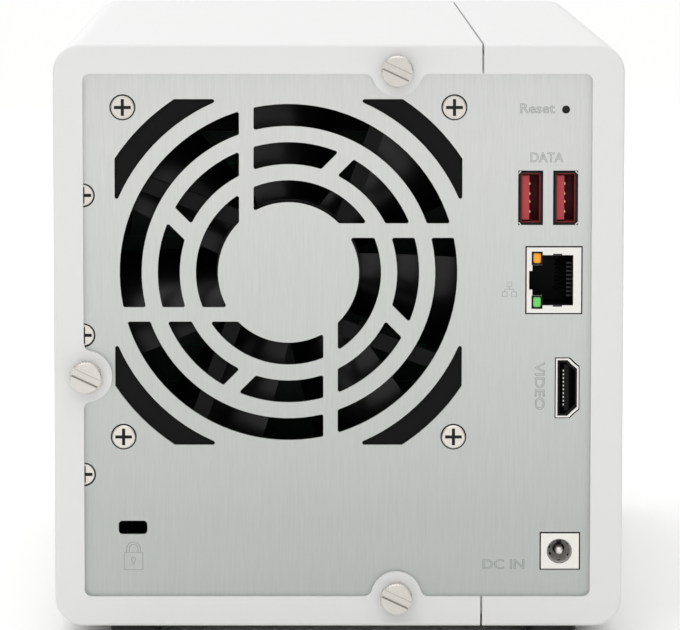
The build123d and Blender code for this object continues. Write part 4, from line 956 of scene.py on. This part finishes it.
# each gap's angle, inner and outer radius, and half width
for angle, inner, outer, gap_half_width in (
    (-90, 1.5 * MM, 2.3 * MM, 0.55 * MM),
    (-15, 2.3 * MM, 3.05 * MM, 0.3 * MM),
    (25, 2.2 * MM, 3.0 * MM, 0.35 * MM),
    (90, 2.6 * MM, 3.05 * MM, 0.6 * MM),
    (150, 2.4 * MM, 3.05 * MM, 0.25 * MM),
    (-145, 2.5 * MM, 3.05 * MM, 0.25 * MM),
):
    gap = bmesh.new()
    slab(gap, (inner, gap_rear, -gap_half_width), (outer, gap_front, gap_half_width), 0.05 * MM)
    add_turned_copy(power_gap_shade_slabs, gap, on_barrel @ Matrix.Rotation(radians(angle), 4, "Y"))
piece("power_jack_gap_shade", power_gap_shade_slabs, insert_black_and_gap_shade, "chassis")
earth_tab = bmesh.new()
tab_low = (power_side_x + 0.02 * MM, power_face_y - 3.0 * MM, power_centre[1] - 2.6 * MM)
tab_high = (power_side_x + 0.22 * MM, power_face_y - 0.15 * MM, power_centre[1] + 2.2 * MM)
slab(earth_tab, tab_low, tab_high, 0.05 * MM)
piece("power_jack_earth_tab", earth_tab, dull_tin, "chassis")

# ------------------------------------------------------------------ drive trays and levers
# Black ABS trays with a vented front. Each has a lever hinged at its foot that locks it in, two small
# lamps, and dots that number the bay from one to three.

# Spark texture: a fine even pebble on the tray and its front.
tray_black = grained("spark_textured_black_abs", "#1B1B1D", (0.45, 0.58), 0.35 * MM, 0.03 * MM)
# Lever: the same plastic, polished a little so that its edge shows.
lever_black = grained("satin_black_abs", "#252528", (0.32, 0.42), 0.4 * MM, 0.01 * MM)
# Lamp window: clear tinted acrylic, dim blue-grey when unlit.
lamp_acrylic = grained("tinted_clear_acrylic", "#7D93A0", (0.12, 0.2), 0.6 * MM, 0.003 * MM)
# White screen print: the dots that number the bays, slightly chalky.
dot_print = grained("screen_printed_white", "#D9DADB", (0.5, 0.6), 0.2 * MM, 0.003 * MM)
bays = (1, 2, 3)
mark_inset = 4.5 * MM
window_pitch = 5.5 * MM
window_half_width = 1.1 * MM
dot_pitch = 2.2 * MM
dot_drop = 5.0 * MM
grip_count = 5
grip_pitch = 2.2 * MM
grip_drop = 12.0 * MM
grip_half_length = 3.6 * MM
grip_half_height = 0.45 * MM
for bay in bays:
    dress(tray_black, f"tray_{bay}")
    dress(lever_black, f"tray_lever_{bay}")
    tray_low, tray_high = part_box(f"tray_{bay}")
    lever_low, lever_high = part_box(f"tray_lever_{bay}")
    panel_y = tray_low[1]
    mark_x = tray_high[0] - mark_inset
    windows = bmesh.new()
    for window_x in (mark_x, mark_x - window_pitch):
        window_low = (window_x - window_half_width, panel_y - 0.08 * MM, tray_low[2] + 4.4 * MM)
        window_high = (window_x + window_half_width, panel_y + 0.5 * MM, tray_low[2] + 6.0 * MM)
        slab(windows, window_low, window_high, 0.06 * MM)
    piece(f"tray_lamps_{bay}", windows, lamp_acrylic, f"tray_{bay}")
    dots = bmesh.new()
    for step in range(bay):
        dot_centre = (mark_x - step * dot_pitch, tray_high[2] - dot_drop)
        dot_depths = (panel_y - 0.04 * MM, panel_y + 0.1 * MM)
        flat_ring(dots, dot_centre, (0.02 * MM, 0.6 * MM), dot_depths, steps=16)
    piece(f"tray_dots_{bay}", dots, dot_print, f"tray_{bay}")
    grips = bmesh.new()
    grip_x = middle_of(f"tray_lever_{bay}")[0]
    for step in range(grip_count):
        grip_z = lever_high[2] - grip_drop - step * grip_pitch
        grip_low = (grip_x - grip_half_length, lever_low[1] - 0.35 * MM, grip_z - grip_half_height)
        grip_high = (grip_x + grip_half_length, lever_low[1] + 0.2 * MM, grip_z + grip_half_height)
        slab(grips, grip_low, grip_high, 0.25 * MM)
    piece(f"tray_lever_grips_{bay}", grips, lever_black, f"tray_lever_{bay}")

# ------------------------------------------------------------------ drives
# Cast aluminium bodies with a pressed steel lid held by six screws, and a paper label on the lid. They
# slide out with their trays.

# Sand-cast aluminium: dull and slightly grainy.
cast_aluminium = grained("cast_aluminium", "#8F9193", (0.45, 0.6), 0.4 * MM, 0.02 * MM, Metallic=0.9)
# Pressed lid: smooth bright steel.
pressed_lid = grained("pressed_stainless_lid", "#C3C5C6", (0.25, 0.36), 2 * MM, 0.004 * MM, Metallic=1.0)
# Label: coated paper, printed with plain bars.
label_paper = grained("coated_label_paper", "#EDEDEA", (0.45, 0.55), 0.4 * MM, 0.003 * MM)
lid_inset = 3.0 * MM
screw_inset = 5.0 * MM
screw_half = 2.0 * MM
print_margin = 6.0 * MM
first_bar_drop = 8.0 * MM
label_bar_pitch = 7.0 * MM
label_bar_half = 1.1 * MM
for bay in bays:
    dress(cast_aluminium, f"drive_{bay}")
    drive_low, drive_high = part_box(f"drive_{bay}")
    side_x = drive_high[0]
    lid_x = side_x + 0.6 * MM
    lid = bmesh.new()
    lid_y = (drive_low[1] + lid_inset, drive_high[1] - lid_inset)
    lid_z = (drive_low[2] + lid_inset, drive_high[2] - lid_inset)
    slab(lid, (side_x - 0.2 * MM, lid_y[0], lid_z[0]), (lid_x + 0.1 * MM, lid_y[1], lid_z[1]), 0.4 * MM)
    piece(f"drive_lid_{bay}", lid, pressed_lid, f"tray_{bay}")
    heads = bmesh.new()
    middle_y = (lid_y[0] + lid_y[1]) / 2
    for y in (lid_y[0] + screw_inset, middle_y, lid_y[1] - screw_inset):
        for z in (lid_z[0] + screw_inset, lid_z[1] - screw_inset):
            screw_low = (lid_x, y - screw_half, z - screw_half)
            screw_high = (side_x + 1.2 * MM, y + screw_half, z + screw_half)
            slab(heads, screw_low, screw_high, 0.9 * MM)
    piece(f"drive_lid_screws_{bay}", heads, bright_nickel, f"tray_{bay}")
    label = bmesh.new()
    label_y = (lid_y[0] + 24 * MM, lid_y[1] - 20 * MM)
    label_z = (lid_z[0] + 20 * MM, lid_z[1] - 14 * MM)
    slab(label, (lid_x, label_y[0], label_z[0]), (side_x + 0.82 * MM, label_y[1], label_z[1]), 0.05 * MM)
    piece(f"drive_label_{bay}", label, label_paper, f"tray_{bay}")
    bars = bmesh.new()
    bar_start = label_y[0] + print_margin
    bar_room = label_y[1] - print_margin - bar_start
    for row, share in enumerate((0.7, 0.4, 0.85, 0.55, 0.65)):
        bar_z = label_z[1] - first_bar_drop - row * label_bar_pitch
        bar_low = (side_x + 0.75 * MM, bar_start, bar_z - label_bar_half)
        bar_high = (side_x + 0.86 * MM, bar_start + share * bar_room, bar_z + label_bar_half)
        slab(bars, bar_low, bar_high, 0.02 * MM)
    piece(f"drive_label_print_{bay}", bars, print_black, f"tray_{bay}")

# ------------------------------------------------------------------ buttons and light pipes
# Satin grey ABS buttons with a printed sign each, and clear acrylic pipes that carry the status lamps.

# Button grey: smoother than the bezel round it.
button_grey = grained("polished_grey_abs", "#BFC1C2", (0.25, 0.34), 0.6 * MM, 0.004 * MM)
dress(button_grey, "power_button", "copy_button")
# Clear acrylic: bright and glassy against the white strip.
clear_acrylic = grained(
    "clear_acrylic", "#DCE4E8", (0.08, 0.14), 0.8 * MM, 0.002 * MM, Transmission_Weight=0.6, IOR=1.49
)
dress(clear_acrylic, "light_pipes")
# Grey pad print: a flat, slightly raised ink.
sign_grey = grained("pad_printed_grey", "#5C5E60", (0.5, 0.6), 0.2 * MM, 0.002 * MM)
# power sign: an open ring with a bar in its gap
power_sign = [arc((0, 0), 3.2 * MM, 125, 415), [(0, 0.8 * MM), (0, 3.8 * MM)]]
# copy sign: an arrow that points down into a box
copy_sign = [
    rectangle((0, 0), 4.0 * MM, 2.8 * MM),
    [(0, 1.6 * MM), (0, -0.6 * MM)],
    [(-0.8 * MM, 0.2 * MM), (0, -0.7 * MM), (0.8 * MM, 0.2 * MM)],
]
sign_line = 0.4 * MM
for name, paths in (("power_button", power_sign), ("copy_button", copy_sign)):
    button_x, button_z = middle_of(name)
    sign = bmesh.new()
    add_paths(sign, paths, sign_line, on_front(button_x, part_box(name)[0][1], button_z))
    piece(f"{name}_sign", sign, sign_grey, name)
